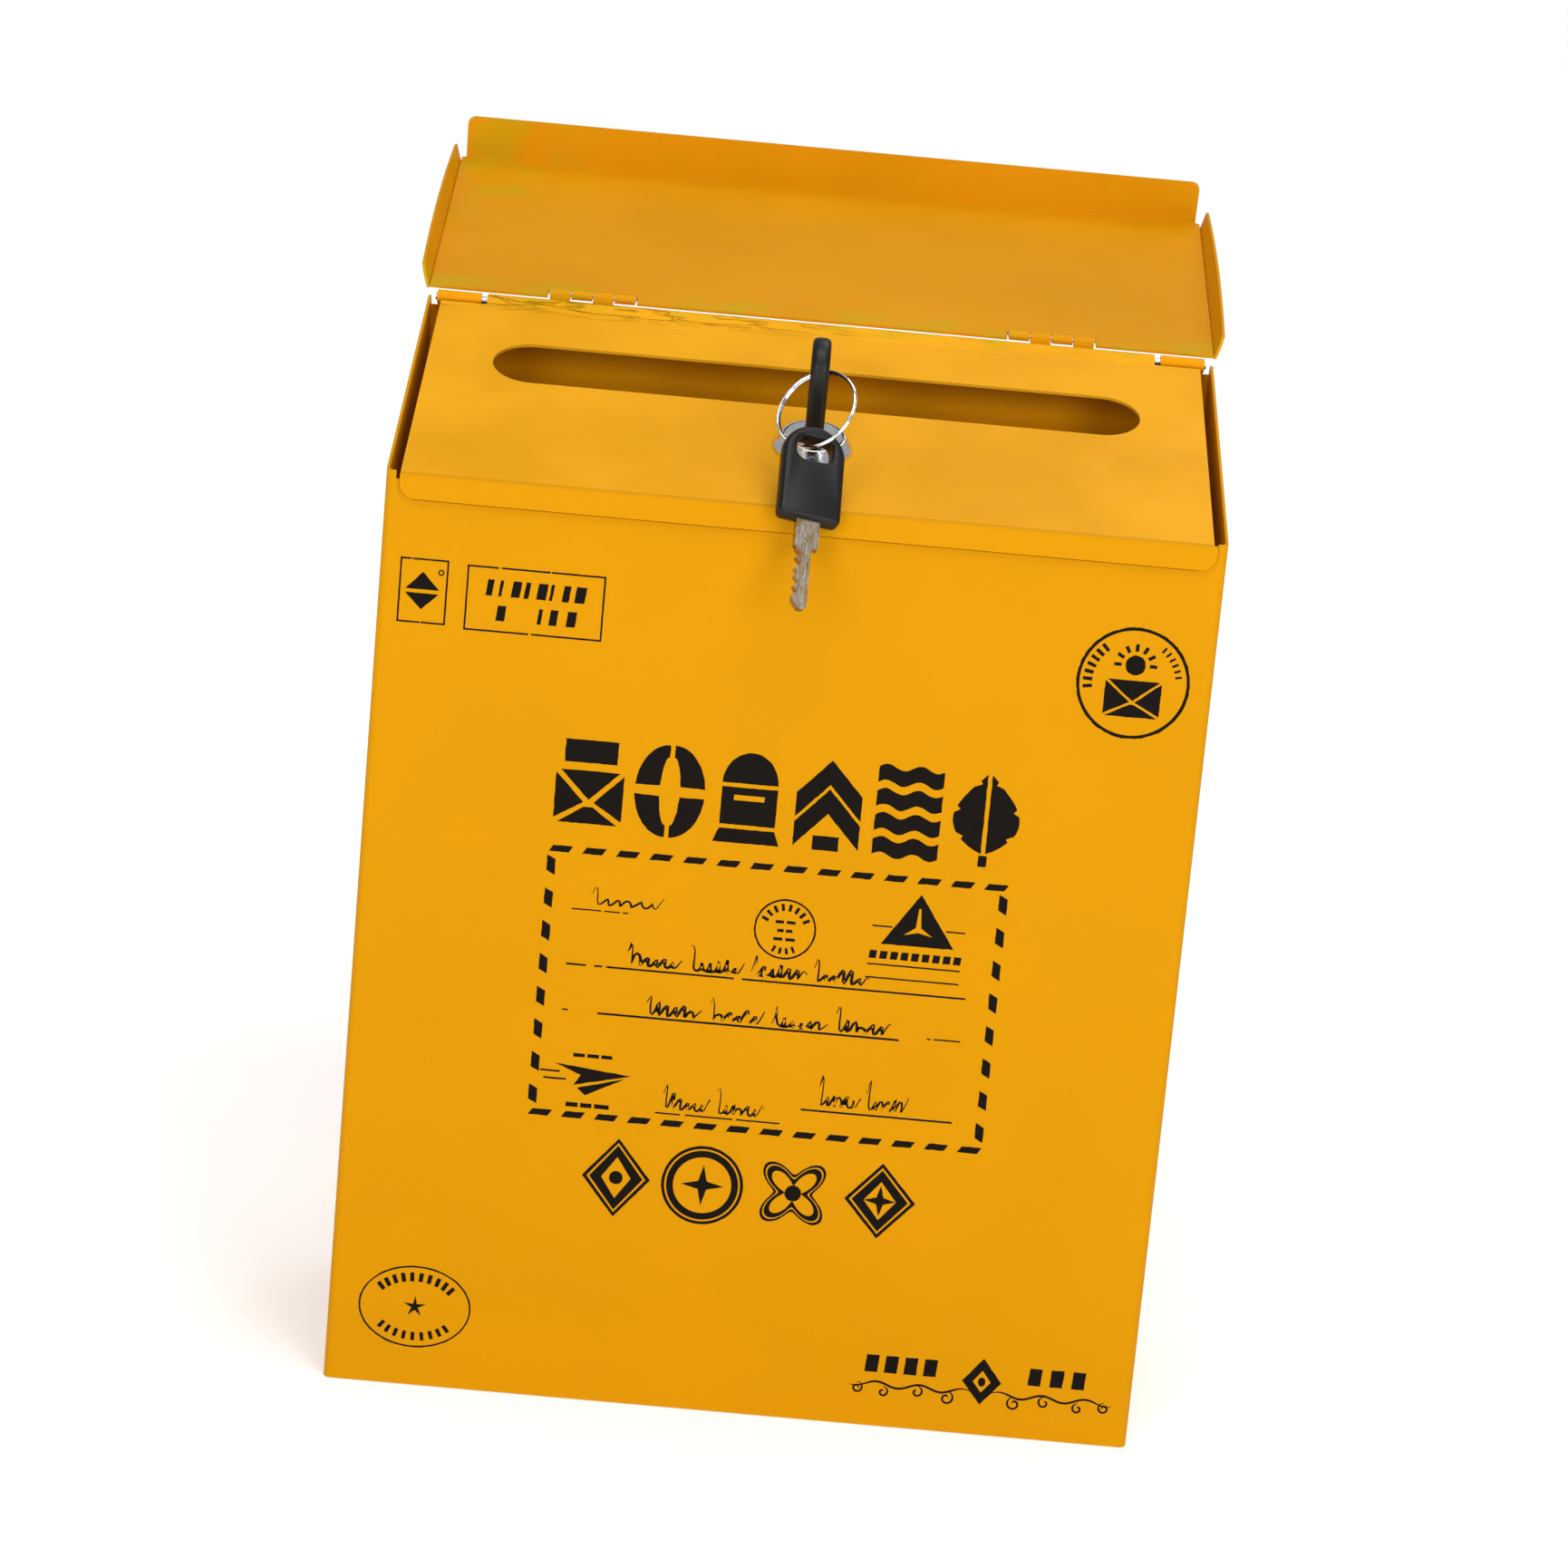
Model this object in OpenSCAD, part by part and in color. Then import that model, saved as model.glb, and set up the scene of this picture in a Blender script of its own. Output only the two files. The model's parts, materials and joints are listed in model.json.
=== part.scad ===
// Wall mailbox of folded sheet steel: a case with a sloped slot door, a cam lock
// with its key in it, a second key on a split ring, and a rain cover on two butt hinges.
// Millimetres. +Z up, the front faces -Y, the origin is the middle of the bottom face.

/* [Case] */
// Width over the side walls
case_w = 215; // [180:1:300]
// Depth from front face to back face
case_d = 95; // [80:1:140]
// Height of the fold at the front of the sloped top
front_h = 245; // [200:1:320]
// Height of the sloped top's plane at the back face
back_h = 280; // [220:1:360]
// Thickness of the case and door sheet
sheet = 0.8; // [0.6:0.1:1.2]
// Outer radius of the case's vertical bends
bend_r = 2; // [1:0.5:4]
// Height of the bottom pan's and width of the back panel's weld flanges
weld_flange = 11; // [6:1:20]

/* [Wall holes] */
// Diameter of a wall screw hole
wall_hole_d = 5; // [4:0.5:8]
// Distance between wall holes from left to right
wall_hole_x = 120; // [60:1:160]
// Distance between wall holes from bottom to top
wall_hole_z = 180; // [100:1:200]
// Height of the lower wall holes
wall_hole_low = 40; // [25:1:60]

/* [Slot door] */
// Gap between the door's side edges and the side walls
door_gap = 2.9; // [1.5:0.1:4]
// Height of the lip that the door folds down over the front
lip_h = 6.6; // [4:0.2:12]
// Height of the door's side flanges inside the case
door_flange = 7; // [4:0.5:12]
// Length of the letter slot
slot_l = 173; // [120:1:190]
// Width of the letter slot
slot_w = 21.6; // [12:0.2:30]
// Distance from the front fold to the slot's middle, along the slope
slot_s = 64; // [55:1:72]
// Distance from the front fold to the lock's axis, along the slope
lock_s = 32.5; // [26:0.5:38]
// Diameter of the hinge rod
rod_d = 2; // [1.6:0.1:3]
// Length of each end barrel that the back panel rolls round the rod
end_barrel = 12; // [8:1:20]

/* [Lock] */
// Diameter of the lock's flange where it meets the door
lock_flange_d = 21; // [18:0.5:26]
// Diameter of the lock's front face
lock_face_d = 16.6; // [15:0.2:20]
// Height of the flange over the door
lock_flange_h = 3.4; // [2:0.2:5]
// Diameter of the threaded body
lock_body_d = 16; // [12:0.5:19]
// Length of the body below the door
lock_body_l = 20; // [16:1:30]
// Length of the cam from the lock's axis to its tip
cam_l = 38; // [30:1:40]

/* [Keys] */
// Length of a key's moulded bow
bow_l = 27.2; // [22:0.2:34]
// Width of a bow
bow_w = 16.5; // [12:0.5:22]
// Thickness of a bow
bow_t = 4.8; // [3:0.2:6]
// Length of a blade below the bow
blade_l = 25.5; // [20:0.5:30]
// Outer diameter of the split ring
ring_d = 22.8; // [20:0.2:28]
// Lean of the ring and the second key from the vertical, in degrees
chain_lean = 40; // [38:0.5:46]

/* [Rain cover] */
// Length of the cover from its hinge axis to the fold of its front flange
cover_l = 104.5; // [100:0.5:110]
// Inner half width of the cover at the hinge
cover_half_rear = 107.5; // [107.2:0.1:110]
// Inner half width of the cover at the front fold
cover_half_front = 109.1; // [108:0.1:112]
// Height of the cover's front flange
cover_front_flange = 12; // [8:0.5:18]
// Angle of the open cover over the horizontal, in degrees
cover_open = 14.3; // [0:0.1:40]
// Outward splay of the cover's side flanges, in degrees
cover_splay = 18; // [5:1:25]
// Distance of each cover hinge's middle from the centre
cover_hinge_x = 63; // [40:1:80]
// Outer diameter of a cover hinge's knuckles
knuckle_d = 2.8; // [2.4:0.1:4]

/* [Hidden] */

fine = 64;
small = 32;
over = 1;                      // how far a cutter runs past a face

paint = "#E3A21A";
paint_inner = "#D98F14";
chrome = "#C9CDD3";
zinc = "#B9BDC2";
brass = "#C8B273";
black = "#1B1B1D";

front_y = -case_d / 2;
back_y = case_d / 2;
slope = atan2(back_h - front_h, case_d);
wall_in = case_w / 2 - sheet;  // inner face of a side wall

// Slope frame: x as in the row frame, second value along the slope from the front
// fold, third value out of the door.
function slope_point(x, s, h) =
    [x, front_y + s * cos(slope) - h * sin(slope), front_h + s * sin(slope) + h * cos(slope)];

module on_slope(s = 0, h = 0) {
    translate(slope_point(0, s, h)) rotate([slope, 0, 0]) children();
}

// A profile drawn in (along slope, out of the door), extruded from x0 to x1.
module slope_strip(x0, x1) {
    translate([x0, 0, 0]) rotate([90, 0, 90]) linear_extrude(x1 - x0) children();
}

// The door's hinge: the rod's axis, and the barrels' radii
run_gap = 0.05;                // radial clearance of a running fit
rod_r = rod_d / 2;
barrel_in = rod_r + run_gap;
barrel_out = barrel_in + sheet;
rod_h = -0.5;
rod_y = back_y - barrel_out - 0.35;
rod_s = (rod_y - front_y + rod_h * sin(slope)) / cos(slope);
door_half = wall_in - door_gap;
end_barrel_x = wall_in - 1.7;  // outer end of an end barrel
mid_barrel_x = end_barrel_x - end_barrel - 1.7;

// The cover's hinge axis: its knuckles lie against the back face
knuckle_r = knuckle_d / 2;
cover_axis_y = back_y + knuckle_r;
cover_axis_z = back_h + 1.9;
leaf_t = knuckle_r - sheet;   // the cover's sheet fills the rest up to its axis
leaf_w = 23.6;
knuckles = 4;
cover_pin_r = 0.7;

module on_cover() {
    translate([0, cover_axis_y, cover_axis_z]) rotate([cover_open, 0, 0]) children();
}

// ---------------------------------------------------------------- case

module rounded_box_outline(w, d, r) {
    for (sx = [-1, 1]) translate([sx * (w / 2 - r), -d / 2 + r]) circle(r, $fn = small);
    translate([-w / 2, -d / 2 + r]) square([w, d - r]);
    translate([-w / 2 + r, -d / 2]) square([w - 2 * r, d]);
}

// Front and sides from one sheet, folded round the two front corners, with the
// side walls cut to the slope and the front wall ending under the door's fold.
module case_wrap() {
    top_cut = slope_point(0, 0, 0)[2];
    color(paint) difference() {
        linear_extrude(back_h) difference() {
            rounded_box_outline(case_w, case_d, bend_r);
            translate([0, sheet]) rounded_box_outline(case_w - 2 * sheet, case_d, bend_r - sheet);
        }
        on_slope() translate([-case_w, -case_d, 0]) cube([2 * case_w, 3 * case_d, case_d]);
        translate([-door_half - 1, front_y - over, top_cut - 1.9])
            cube([2 * door_half + 2, sheet + 2 * over, 5]);
        rear_radius_cut();
    }
}

// Rounds the side walls' top corners at the back
module rear_radius_cut() {
    r = 3;
    translate([0, back_y - r, back_h - r - 1.1]) rotate([90, 0, 90])
        linear_extrude(2 * case_w, center = true) difference() {
            square([r + over, r + 3]);
            circle(r, $fn = small);
        }
}

// Back sheet with weld flanges inside the side walls and two rolled end barrels
module back_panel() {
    top = slope_point(0, rod_s, rod_h)[2];
    color(paint) {
        difference() {
            translate([-wall_in, back_y - sheet, sheet]) cube([2 * wall_in, sheet, top - 2.5 - sheet]);
            for (sx = [-1, 1], z = [wall_hole_low, wall_hole_low + wall_hole_z])
                translate([sx * wall_hole_x / 2, back_y - sheet - over, z]) rotate([-90, 0, 0])
                    cylinder(sheet + 2 * over, d = wall_hole_d, $fn = fine);
        }
        for (sx = [-1, 1])
            translate([sx * (wall_in - sheet / 2) - sheet / 2, back_y - weld_flange, weld_flange + 1])
                cube([sheet, weld_flange - sheet, back_h - 45]);
        for (sx = [-1, 1]) end_barrel_roll(sx, top);
    }
}

// The back sheet's tongue jogs forward and rolls over the rod
module end_barrel_roll(side, top) {
    x0 = side > 0 ? end_barrel_x - end_barrel : -end_barrel_x;
    difference() {
        union() {
            translate([x0, rod_y, top]) rotate([0, 90, 0]) cylinder(end_barrel, r = barrel_out, $fn = fine);
            translate([x0, rod_y + barrel_in, top - 2.7]) cube([end_barrel, sheet, 2.7]);
            translate([x0, rod_y + barrel_in, top - 3.2]) cube([end_barrel, back_y - rod_y - barrel_in, 0.8]);
        }
        translate([x0 - over, rod_y, top]) rotate([0, 90, 0])
            cylinder(end_barrel + 2 * over, r = rod_r, $fn = fine);
    }
}

// Bottom pan: a plate between the walls with its flanges turned up inside them
module bottom_panel() {
    x = wall_in;
    y0 = front_y + sheet;
    y1 = back_y - sheet;
    color(paint) difference() {
        union() {
            translate([-x, y0, 0]) cube([2 * x, y1 - y0 + sheet, sheet]);
            translate([-x, y0, 0]) cube([2 * x, y1 - y0, weld_flange]);
        }
        translate([-x + sheet, y0 + sheet, sheet])
            cube([2 * (x - sheet), y1 - y0 - 2 * sheet, weld_flange]);
        for (sx = [-1, 1]) translate([sx * x, y0, -over])
            cylinder(weld_flange + 2 * over, r = 2.6, $fn = small);
    }
}

// The cam's level below the door, and the catch that it turns under
cam_t = 1.6;
cam_top = -lock_body_l - 3;
catch_gap = 0.5;
catch_w = 24;
catch_reach = 10;

// Angle bracket welded inside the front wall: a plumb leg and a sloped shelf
module cam_catch() {
    wall_y = front_y + sheet;
    h = cam_top + catch_gap;
    function at(s, level) = [for (i = [1, 2]) slope_point(0, s, level)[i]];
    function s_on_wall(level) = (sheet + level * sin(slope)) / cos(slope);
    low = at(s_on_wall(h), h);
    high = at(s_on_wall(h + sheet), h + sheet);
    tip = s_on_wall(h) + catch_reach;
    color(paint) translate([-catch_w / 2, 0, 0]) rotate([90, 0, 90]) linear_extrude(catch_w)
        polygon([low, at(tip, h), at(tip, h + sheet),
                 [wall_y + sheet, high[1] + sheet * tan(slope)],
                 [wall_y + sheet, high[1] + 12], [wall_y, high[1] + 12]]);
}

module hinge_rod() {
    p = slope_point(0, rod_s, rod_h);
    l = 2 * end_barrel_x + 1;
    color(zinc) translate([-l / 2, p[1], p[2]]) rotate([0, 90, 0]) cylinder(l, r = rod_r, $fn = fine);
}

// ---------------------------------------------------------------- slot door

lip_gap = 0.3;                 // between the lip and the front wall
fold_r = 1.2;                  // outer radius of the front fold
lip_out = -(sheet + lip_gap);  // the lip's outer face, forward of the front wall
sweep_s = 94;                  // where the door sheet starts to rise to its barrel
fold_y = front_y + lip_out + fold_r;
fold_z = front_h + ((fold_y - front_y) * sin(slope) - fold_r) / cos(slope);
fold_s = (fold_y - front_y) * cos(slope) + (fold_z - front_h) * sin(slope);

// Rise of the door sheet: an arc tangent to the sheet and to the barrel
rise_r = ((rod_s - sweep_s) ^ 2 + rod_h ^ 2 - barrel_out ^ 2) / (2 * (barrel_out + rod_h));
rise_turn = atan2(rod_s - sweep_s, rise_r - rod_h);

// A point of the rise, a degrees round its middle at radius r
function rise_point(r, a) = [sweep_s + r * sin(a), rise_r - r * cos(a)];

// A point of the front fold, a degrees from the sheet towards the lip at radius r
function fold_point(r, a) = [fold_s - r * sin(a), -fold_r + r * cos(a)];

// The lip, its fold, the flat sheet and its rise in one line, and the barrel
module door_profile() {
    steps = 12;
    fold_turn = 90 - slope;
    drop = (fold_z - front_h + lip_h) * [-sin(slope), -cos(slope)];
    polygon(concat([fold_point(fold_r, fold_turn) + drop],
                   [for (i = [steps:-1:0]) fold_point(fold_r, i * fold_turn / steps)],
                   [for (i = [0:steps]) rise_point(rise_r, i * rise_turn / steps)],
                   [for (i = [steps:-1:0]) rise_point(rise_r + sheet, i * rise_turn / steps)],
                   [for (i = [0:steps]) fold_point(fold_r - sheet, i * fold_turn / steps)],
                   [fold_point(fold_r - sheet, fold_turn) + drop]));
    translate([rod_s, rod_h]) difference() {
        circle(barrel_out, $fn = fine);
        circle(barrel_in, $fn = fine);
        rotate(180 + 8) translate([0, -0.25]) square([3, 0.45]);
    }
}

module slot_outline(l, w) {
    r = w / 2;
    for (sx = [-1, 1]) translate([sx * (l / 2 - r), 0]) circle(r, $fn = fine);
    square([l - w, w], center = true);
}

lock_hole_r = lock_body_d / 2 + 0.1;
lock_flat = 6.9;               // half the distance over the body's two flats

module double_d(r, flat) {
    intersection() {
        circle(r, $fn = fine);
        square([2 * flat, 3 * r], center = true);
    }
}

lip_extra = 0.9;               // the lip passes the sheet's right side by this

// Rounds the lip's two lower corners, and trims the sheet's right side to its width
module door_edge_cuts() {
    r = 4;
    for (sx = [-1, 1])
        translate([sx > 0 ? door_half + lip_extra : -door_half, front_y, front_h - lip_h])
            rotate([90, 0, 0]) linear_extrude(3) difference() {
                square(2 * r, center = true);
                translate([-sx * r, r]) circle(r, $fn = fine);
            }
    on_slope(fold_s, -8) translate([door_half, 0, 0]) cube([lip_extra + 1, 2 * case_d, 16]);
}

module door_panel() {
    color(paint) {
        difference() {
            on_slope() slope_strip(-door_half, door_half + lip_extra) door_profile();
            on_slope() {
                translate([0, slot_s, -5]) linear_extrude(10) slot_outline(slot_l, slot_w);
                translate([0, lock_s, -5]) linear_extrude(10) double_d(lock_hole_r, lock_flat + 0.1);
            }
            barrel_ends_cut();
            door_edge_cuts();
        }
        for (sx = [-1, 1])
            on_slope(3, -door_flange) translate([sx * (door_half - sheet / 2) - sheet / 2, 0, 0])
                cube([sheet, 84, door_flange - sheet + 0.01]);
    }
}

// Clears the door's barrel and rise outside the middle stretch
module barrel_ends_cut() {
    for (sx = [-1, 1])
        on_slope(rod_s - 3.4, -6) translate([sx > 0 ? mid_barrel_x : -case_w, 0, 0])
            cube([case_w - mid_barrel_x, 12, 12]);
}

// ---------------------------------------------------------------- lock

plug_r = 6;
plug_head_r = 7.5;
head_t = 2;
keyway_w = 2.3;
keyway_h = 7;
square_a = 8;

module lock_body() {
    color(chrome) on_slope(lock_s) difference() {
        union() {
            rotate_extrude($fn = fine) polygon([[0, 0], [lock_flange_d / 2, 0], [lock_flange_d / 2, 0.6],
                [lock_face_d / 2, lock_flange_h - 0.2], [lock_face_d / 2 - 0.25, lock_flange_h], [0, lock_flange_h]]);
            translate([0, 0, -lock_body_l]) linear_extrude(lock_body_l) double_d(lock_body_d / 2, lock_flat);
        }
        translate([0, 0, -lock_body_l - over]) cylinder(lock_body_l + 9, r = plug_r + run_gap, $fn = fine);
        translate([0, 0, lock_flange_h - head_t]) cylinder(head_t + over, r = plug_head_r + run_gap, $fn = fine);
    }
}

washer_t = 0.6;
nut_t = 4;

module lock_washer() {
    color(zinc) on_slope(lock_s, -sheet - washer_t) linear_extrude(washer_t) difference() {
        union() {
            circle(10.8, $fn = fine);
            for (a = [0:30:330]) rotate(a) translate([10.4, 0]) square([2.6, 1.6], center = true);
        }
        double_d(lock_body_d / 2 + 0.05, lock_flat + 0.05);
    }
}

module lock_nut() {
    color(zinc) on_slope(lock_s, -sheet - washer_t - nut_t) difference() {
        rotate(30) cylinder(nut_t, r = 12.4, $fn = 6);
        translate([0, 0, -over]) linear_extrude(nut_t + 2 * over) double_d(lock_body_d / 2, lock_flat);
    }
}

wafer_count = 5;
wafer_pitch = 2.9;
wafer_first = -3.2;
wafer_t = 0.7;
wafer_w = 6.8;
wafer_h = 9.4;
spring_d = 1.1;

// The turning cylinder: head, barrel with wafer slots, and the square that drives the cam
module lock_plug() {
    color(chrome) on_slope(lock_s) difference() {
        union() {
            translate([0, 0, lock_flange_h - head_t + run_gap])
                cylinder(head_t - run_gap, r = plug_head_r, $fn = fine);
            translate([0, 0, -lock_body_l - 0.6]) cylinder(lock_body_l + lock_flange_h - 0.8, r = plug_r, $fn = fine);
            translate([-square_a / 2, -square_a / 2, cam_top - cam_t])
                cube([square_a, square_a, -lock_body_l - cam_top + cam_t]);
        }
        translate([-keyway_w / 2, -keyway_h / 2, -lock_body_l - 2.3])
            cube([keyway_w, keyway_h, lock_body_l + 9]);
        for (i = [0:wafer_count - 1])
            translate([-wafer_w / 2 - 0.1, -wafer_h / 2 - 0.1, wafer_first - i * wafer_pitch - 0.1])
                cube([wafer_w + 0.2, wafer_h + 0.2, wafer_t + 0.2]);
        for (i = [0:wafer_count - 1])
            translate([wafer_w / 2 - spring_d - 0.1, -wafer_h / 2 - 0.1, wafer_first - i * wafer_pitch + wafer_t / 2 - 0.65])
                cube([spring_d + 0.2, 3.2, 1.3]);
    }
}

// Five flat wafers, each with the window that the blade passes through
module wafers() {
    color(brass) on_slope(lock_s)
        for (i = [0:wafer_count - 1]) translate([0, 0, wafer_first - i * wafer_pitch])
            linear_extrude(wafer_t) difference() {
                square([wafer_w, wafer_h], center = true);
                square([3, 6.9], center = true);
                translate([wafer_w / 2 - spring_d - 0.2, -wafer_h / 2 - over]) square([3, 3.1 + over]);
            }
}

// Each wafer's coil spring, kept as a small tube in the step beside the wafer
module wafer_springs() {
    color(zinc) on_slope(lock_s)
        for (i = [0:wafer_count - 1])
            translate([wafer_w / 2 - spring_d / 2 - 0.05, -wafer_h / 2 + 0.05, wafer_first - i * wafer_pitch + wafer_t / 2])
                rotate([-90, 0, 0]) difference() {
                    cylinder(1.9, d = spring_d, $fn = 24);
                    translate([0, 0, -over]) cylinder(4, d = spring_d - 0.44, $fn = 24);
                }
}

// The cam points to the left while the lock is open
module cam() {
    color(zinc) on_slope(lock_s, cam_top - cam_t) linear_extrude(cam_t) difference() {
        union() {
            circle(9, $fn = fine);
            translate([-cam_l + 4, -6.5]) square([cam_l - 4, 13]);
            translate([-cam_l + 4, 0]) intersection() {
                circle(6.5, $fn = fine);
                translate([-4, -7]) square([8, 14]);
            }
        }
        square([square_a + 0.02, square_a + 0.02], center = true);
    }
}

// Pan head screw that holds the cam on its square
module cam_screw() {
    color(zinc) on_slope(lock_s, cam_top - cam_t) difference() {
        translate([0, 0, -2.2]) cylinder(2.2, r1 = 4.6, r2 = 5.4, $fn = fine);
        translate([-0.6, -6, -2.2 - over]) cube([1.2, 12, 1 + over]);
        translate([-6, -0.6, -2.2 - over]) cube([12, 1.2, 1 + over]);
    }
}

// ---------------------------------------------------------------- keys

hole_w = 9.6;
hole_h = 6.8;
hole_r = 2.4;
hole_z = bow_l - 6.9;          // middle of the bow's hole
tang_l = 8;
shank_l = 8;
shank_w = 6.2;
blade_t = 1.9;
blade_w = 4;
key_seat = 0.3;                // gap between the bow and the lock's face

module rounded_rect(w, h, r) {
    for (sx = [-1, 1], sy = [-1, 1])
        translate([sx * (w / 2 - r), sy * (h / 2 - r)]) circle(r, $fn = small);
    square([w - 2 * r, h], center = true);
    square([w, h - 2 * r], center = true);
}

module bow_outline(inset = 0) {
    r = bow_w / 2;
    foot_r = 1.6;
    translate([0, bow_l - r]) circle(r - inset, $fn = fine);
    for (sx = [-1, 1]) translate([sx * (r - foot_r), foot_r]) circle(foot_r - inset, $fn = small);
    translate([-r + inset, foot_r]) square([bow_w - 2 * inset, bow_l - r - foot_r]);
    translate([-r + foot_r, inset]) square([bow_w - 2 * foot_r, bow_l / 2]);
}

// Key frame: x across the bow, y through it, z along the key with the bow's foot at 0
module bow() {
    step = 0.5;
    rotate([90, 0, 0]) difference() {
        union() {
            translate([0, 0, -bow_t / 2 + step]) linear_extrude(bow_t - 2 * step) bow_outline();
            translate([0, 0, -bow_t / 2]) linear_extrude(bow_t) bow_outline(step);
        }
        translate([0, hole_z, -bow_t]) linear_extrude(2 * bow_t) rounded_rect(hole_w, hole_h, hole_r);
        translate([-shank_w / 2, -over, -blade_t / 2]) cube([shank_w, tang_l + over, blade_t]);
    }
}

bit_depths = [0.5, 1.1, 0.3, 0.9, 0.6];

module blade() {
    x0 = -shank_w / 2 + 0.5;
    pitch = 2.7;
    rotate([90, 0, 0]) difference() {
        translate([0, 0, -blade_t / 2]) linear_extrude(blade_t) {
            translate([-shank_w / 2, -shank_l]) square([shank_w, shank_l + tang_l]);
            polygon([[x0, -shank_l], [x0, -blade_l + 2.2], [x0 + 1.6, -blade_l],
                     [x0 + blade_w - 0.8, -blade_l], [x0 + blade_w, -blade_l + 1], [x0 + blade_w, -shank_l]]);
        }
        for (i = [0:len(bit_depths) - 1])
            translate([x0, -shank_l - 2 - i * pitch, 0]) rotate(45)
                cube([1.3 + bit_depths[i], 1.3 + bit_depths[i], 4], center = true);
        translate([x0 + blade_w - 1.9, -blade_l - over, blade_t / 2 - 0.4]) cube([0.8, blade_l - shank_l + over + 2, 2]);
    }
}

bow_foot_h = lock_flange_h + key_seat;

module place_key_one() {
    on_slope(lock_s, bow_foot_h) rotate(90) children();
}

module key_one_bow() { color(black) place_key_one() bow(); }
module key_one_blade() { color(brass) place_key_one() blade(); }

// The ring's wire, and where its middle line passes through the first key's hole
wire_w = 1.3;
wire_t = 0.8;
ring_r = (ring_d - wire_t) / 2;
ring_yaw = 30;
key_two_turn = 16;
wire_at = slope_point(0, lock_s - 2.65, bow_foot_h + hole_z - 1);
wire_drop = 1.45;               // from the top of the second key's hole to the wire's middle

module on_chain() {
    translate(wire_at) rotate([-chain_lean, 0, 0]) children();
}

module key_ring() {
    color(chrome) on_chain() translate([0, 0, -ring_r]) rotate([0, 0, -ring_yaw]) rotate([90, 0, 0])
        rotate_extrude($fn = 96) translate([ring_r - wire_t / 2, -wire_w / 2]) square([wire_t, wire_w]);
}

module place_key_two() {
    on_chain() translate([0, 0, -2 * ring_r]) rotate(key_two_turn)
        translate([0, 0, -(hole_z + hole_h / 2 - wire_drop)]) children();
}

module key_two_bow() { color(black) place_key_two() bow(); }
module key_two_blade() { color(brass) place_key_two() blade(); }

// ---------------------------------------------------------------- rain cover

cover_start = -2;              // the cover's rear edge, measured from the hinge axis
side_flange = 6.3;
crown_r = 900;                 // radius of a side flange's upper edge
relief = 2.2;                  // gap between the front flange and a side flange

module cover_sheet() {
    translate([0, 0, -sheet]) linear_extrude(sheet) difference() {
        polygon([[-cover_half_rear, cover_start], [cover_half_rear, cover_start],
                 [cover_half_front, cover_l + sheet], [-cover_half_front, cover_l + sheet]]);
        for (sx = [-1, 1]) {
            translate([sx * cover_hinge_x - leaf_w / 2 - 0.4, cover_start - over])
                square([leaf_w + 0.8, knuckle_r + 0.3 - cover_start + over]);
            translate([sx * (cover_half_front + 0.4), cover_l + 0.4]) circle(relief, $fn = small);
        }
    }
}

module cover_front_lip() {
    r = 2.4;
    w = 2 * (cover_half_front - 1.2);
    translate([0, cover_l + sheet, 0]) rotate([90, 0, 0]) linear_extrude(sheet) {
        for (sx = [-1, 1]) translate([sx * (w / 2 - r), cover_front_flange - r]) circle(r, $fn = small);
        translate([-w / 2, -sheet]) square([w, cover_front_flange + sheet - r]);
        translate([-w / 2 + r, -sheet]) square([w - 2 * r, cover_front_flange + sheet]);
    }
}

// One side flange: a long shallow arc, rounded at the hinge end and pointed at the front
module cover_side_lip(side) {
    taper = atan2(cover_half_front - cover_half_rear, cover_l);
    end = cover_l - 1.5;
    translate([side * cover_half_rear, 0, -sheet]) rotate([0, 0, -side * taper])
        rotate([0, side * cover_splay, 0]) translate([side > 0 ? 0 : -sheet, 0, 0])
            rotate([90, 0, 90]) linear_extrude(sheet) intersection() {
                translate([cover_l * 0.4, side_flange + sheet - crown_r]) circle(crown_r, $fn = 360);
                polygon([[cover_start, 0], [cover_start, 2], [cover_start + 0.8, 4.2],
                         [cover_start + 2.6, 5.9], [cover_start + 5, 9], [end + 1, 9], [end - 2.4, 0]]);
            }
}

module cover_panel() {
    color(paint_inner) on_cover() {
        cover_sheet();
        cover_front_lip();
        for (side = [-1, 1]) cover_side_lip(side);
    }
}

// ---------------------------------------------------------------- cover hinges

leaf_depth = 13;
knuckle_gap = 0.3;
knuckle_l = leaf_w / knuckles;

// Knuckles first, first + 2, ... of a row centred on the hinge
module knuckle_row(first, hole_r) {
    for (i = [first:2:knuckles - 1])
        translate([-leaf_w / 2 + i * knuckle_l + knuckle_gap / 2, 0, 0]) rotate([0, 90, 0]) difference() {
            cylinder(knuckle_l - knuckle_gap, r = knuckle_r, $fn = fine);
            translate([0, 0, -over]) cylinder(knuckle_l + 2 * over, r = hole_r, $fn = fine);
        }
}

// The leaf lies tangent to its knuckles, on local +Y, and is cut back by the other row
module leaf(first, hole_r) {
    difference() {
        union() {
            translate([-leaf_w / 2, knuckle_r + 0.4, -knuckle_r]) cube([leaf_w, leaf_depth, leaf_t]);
            for (i = [first:2:knuckles - 1])
                translate([-leaf_w / 2 + i * knuckle_l + knuckle_gap / 2, 0, -knuckle_r])
                    cube([knuckle_l - knuckle_gap, knuckle_r + 1, leaf_t]);
        }
        translate([-leaf_w, 0, 0]) rotate([0, 90, 0]) cylinder(2 * leaf_w, r = (knuckle_r + hole_r) / 2, $fn = fine);
    }
    knuckle_row(first, hole_r);
}

module fixed_leaf(side) {
    color(paint) translate([side * cover_hinge_x, cover_axis_y, cover_axis_z])
        rotate([-90, 0, 0]) leaf(side > 0 ? 1 : 0, cover_pin_r);
}

module moving_leaf(side) {
    color(paint) on_cover() translate([side * cover_hinge_x, 0, 0])
        leaf(side > 0 ? 0 : 1, cover_pin_r + run_gap);
}

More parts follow.
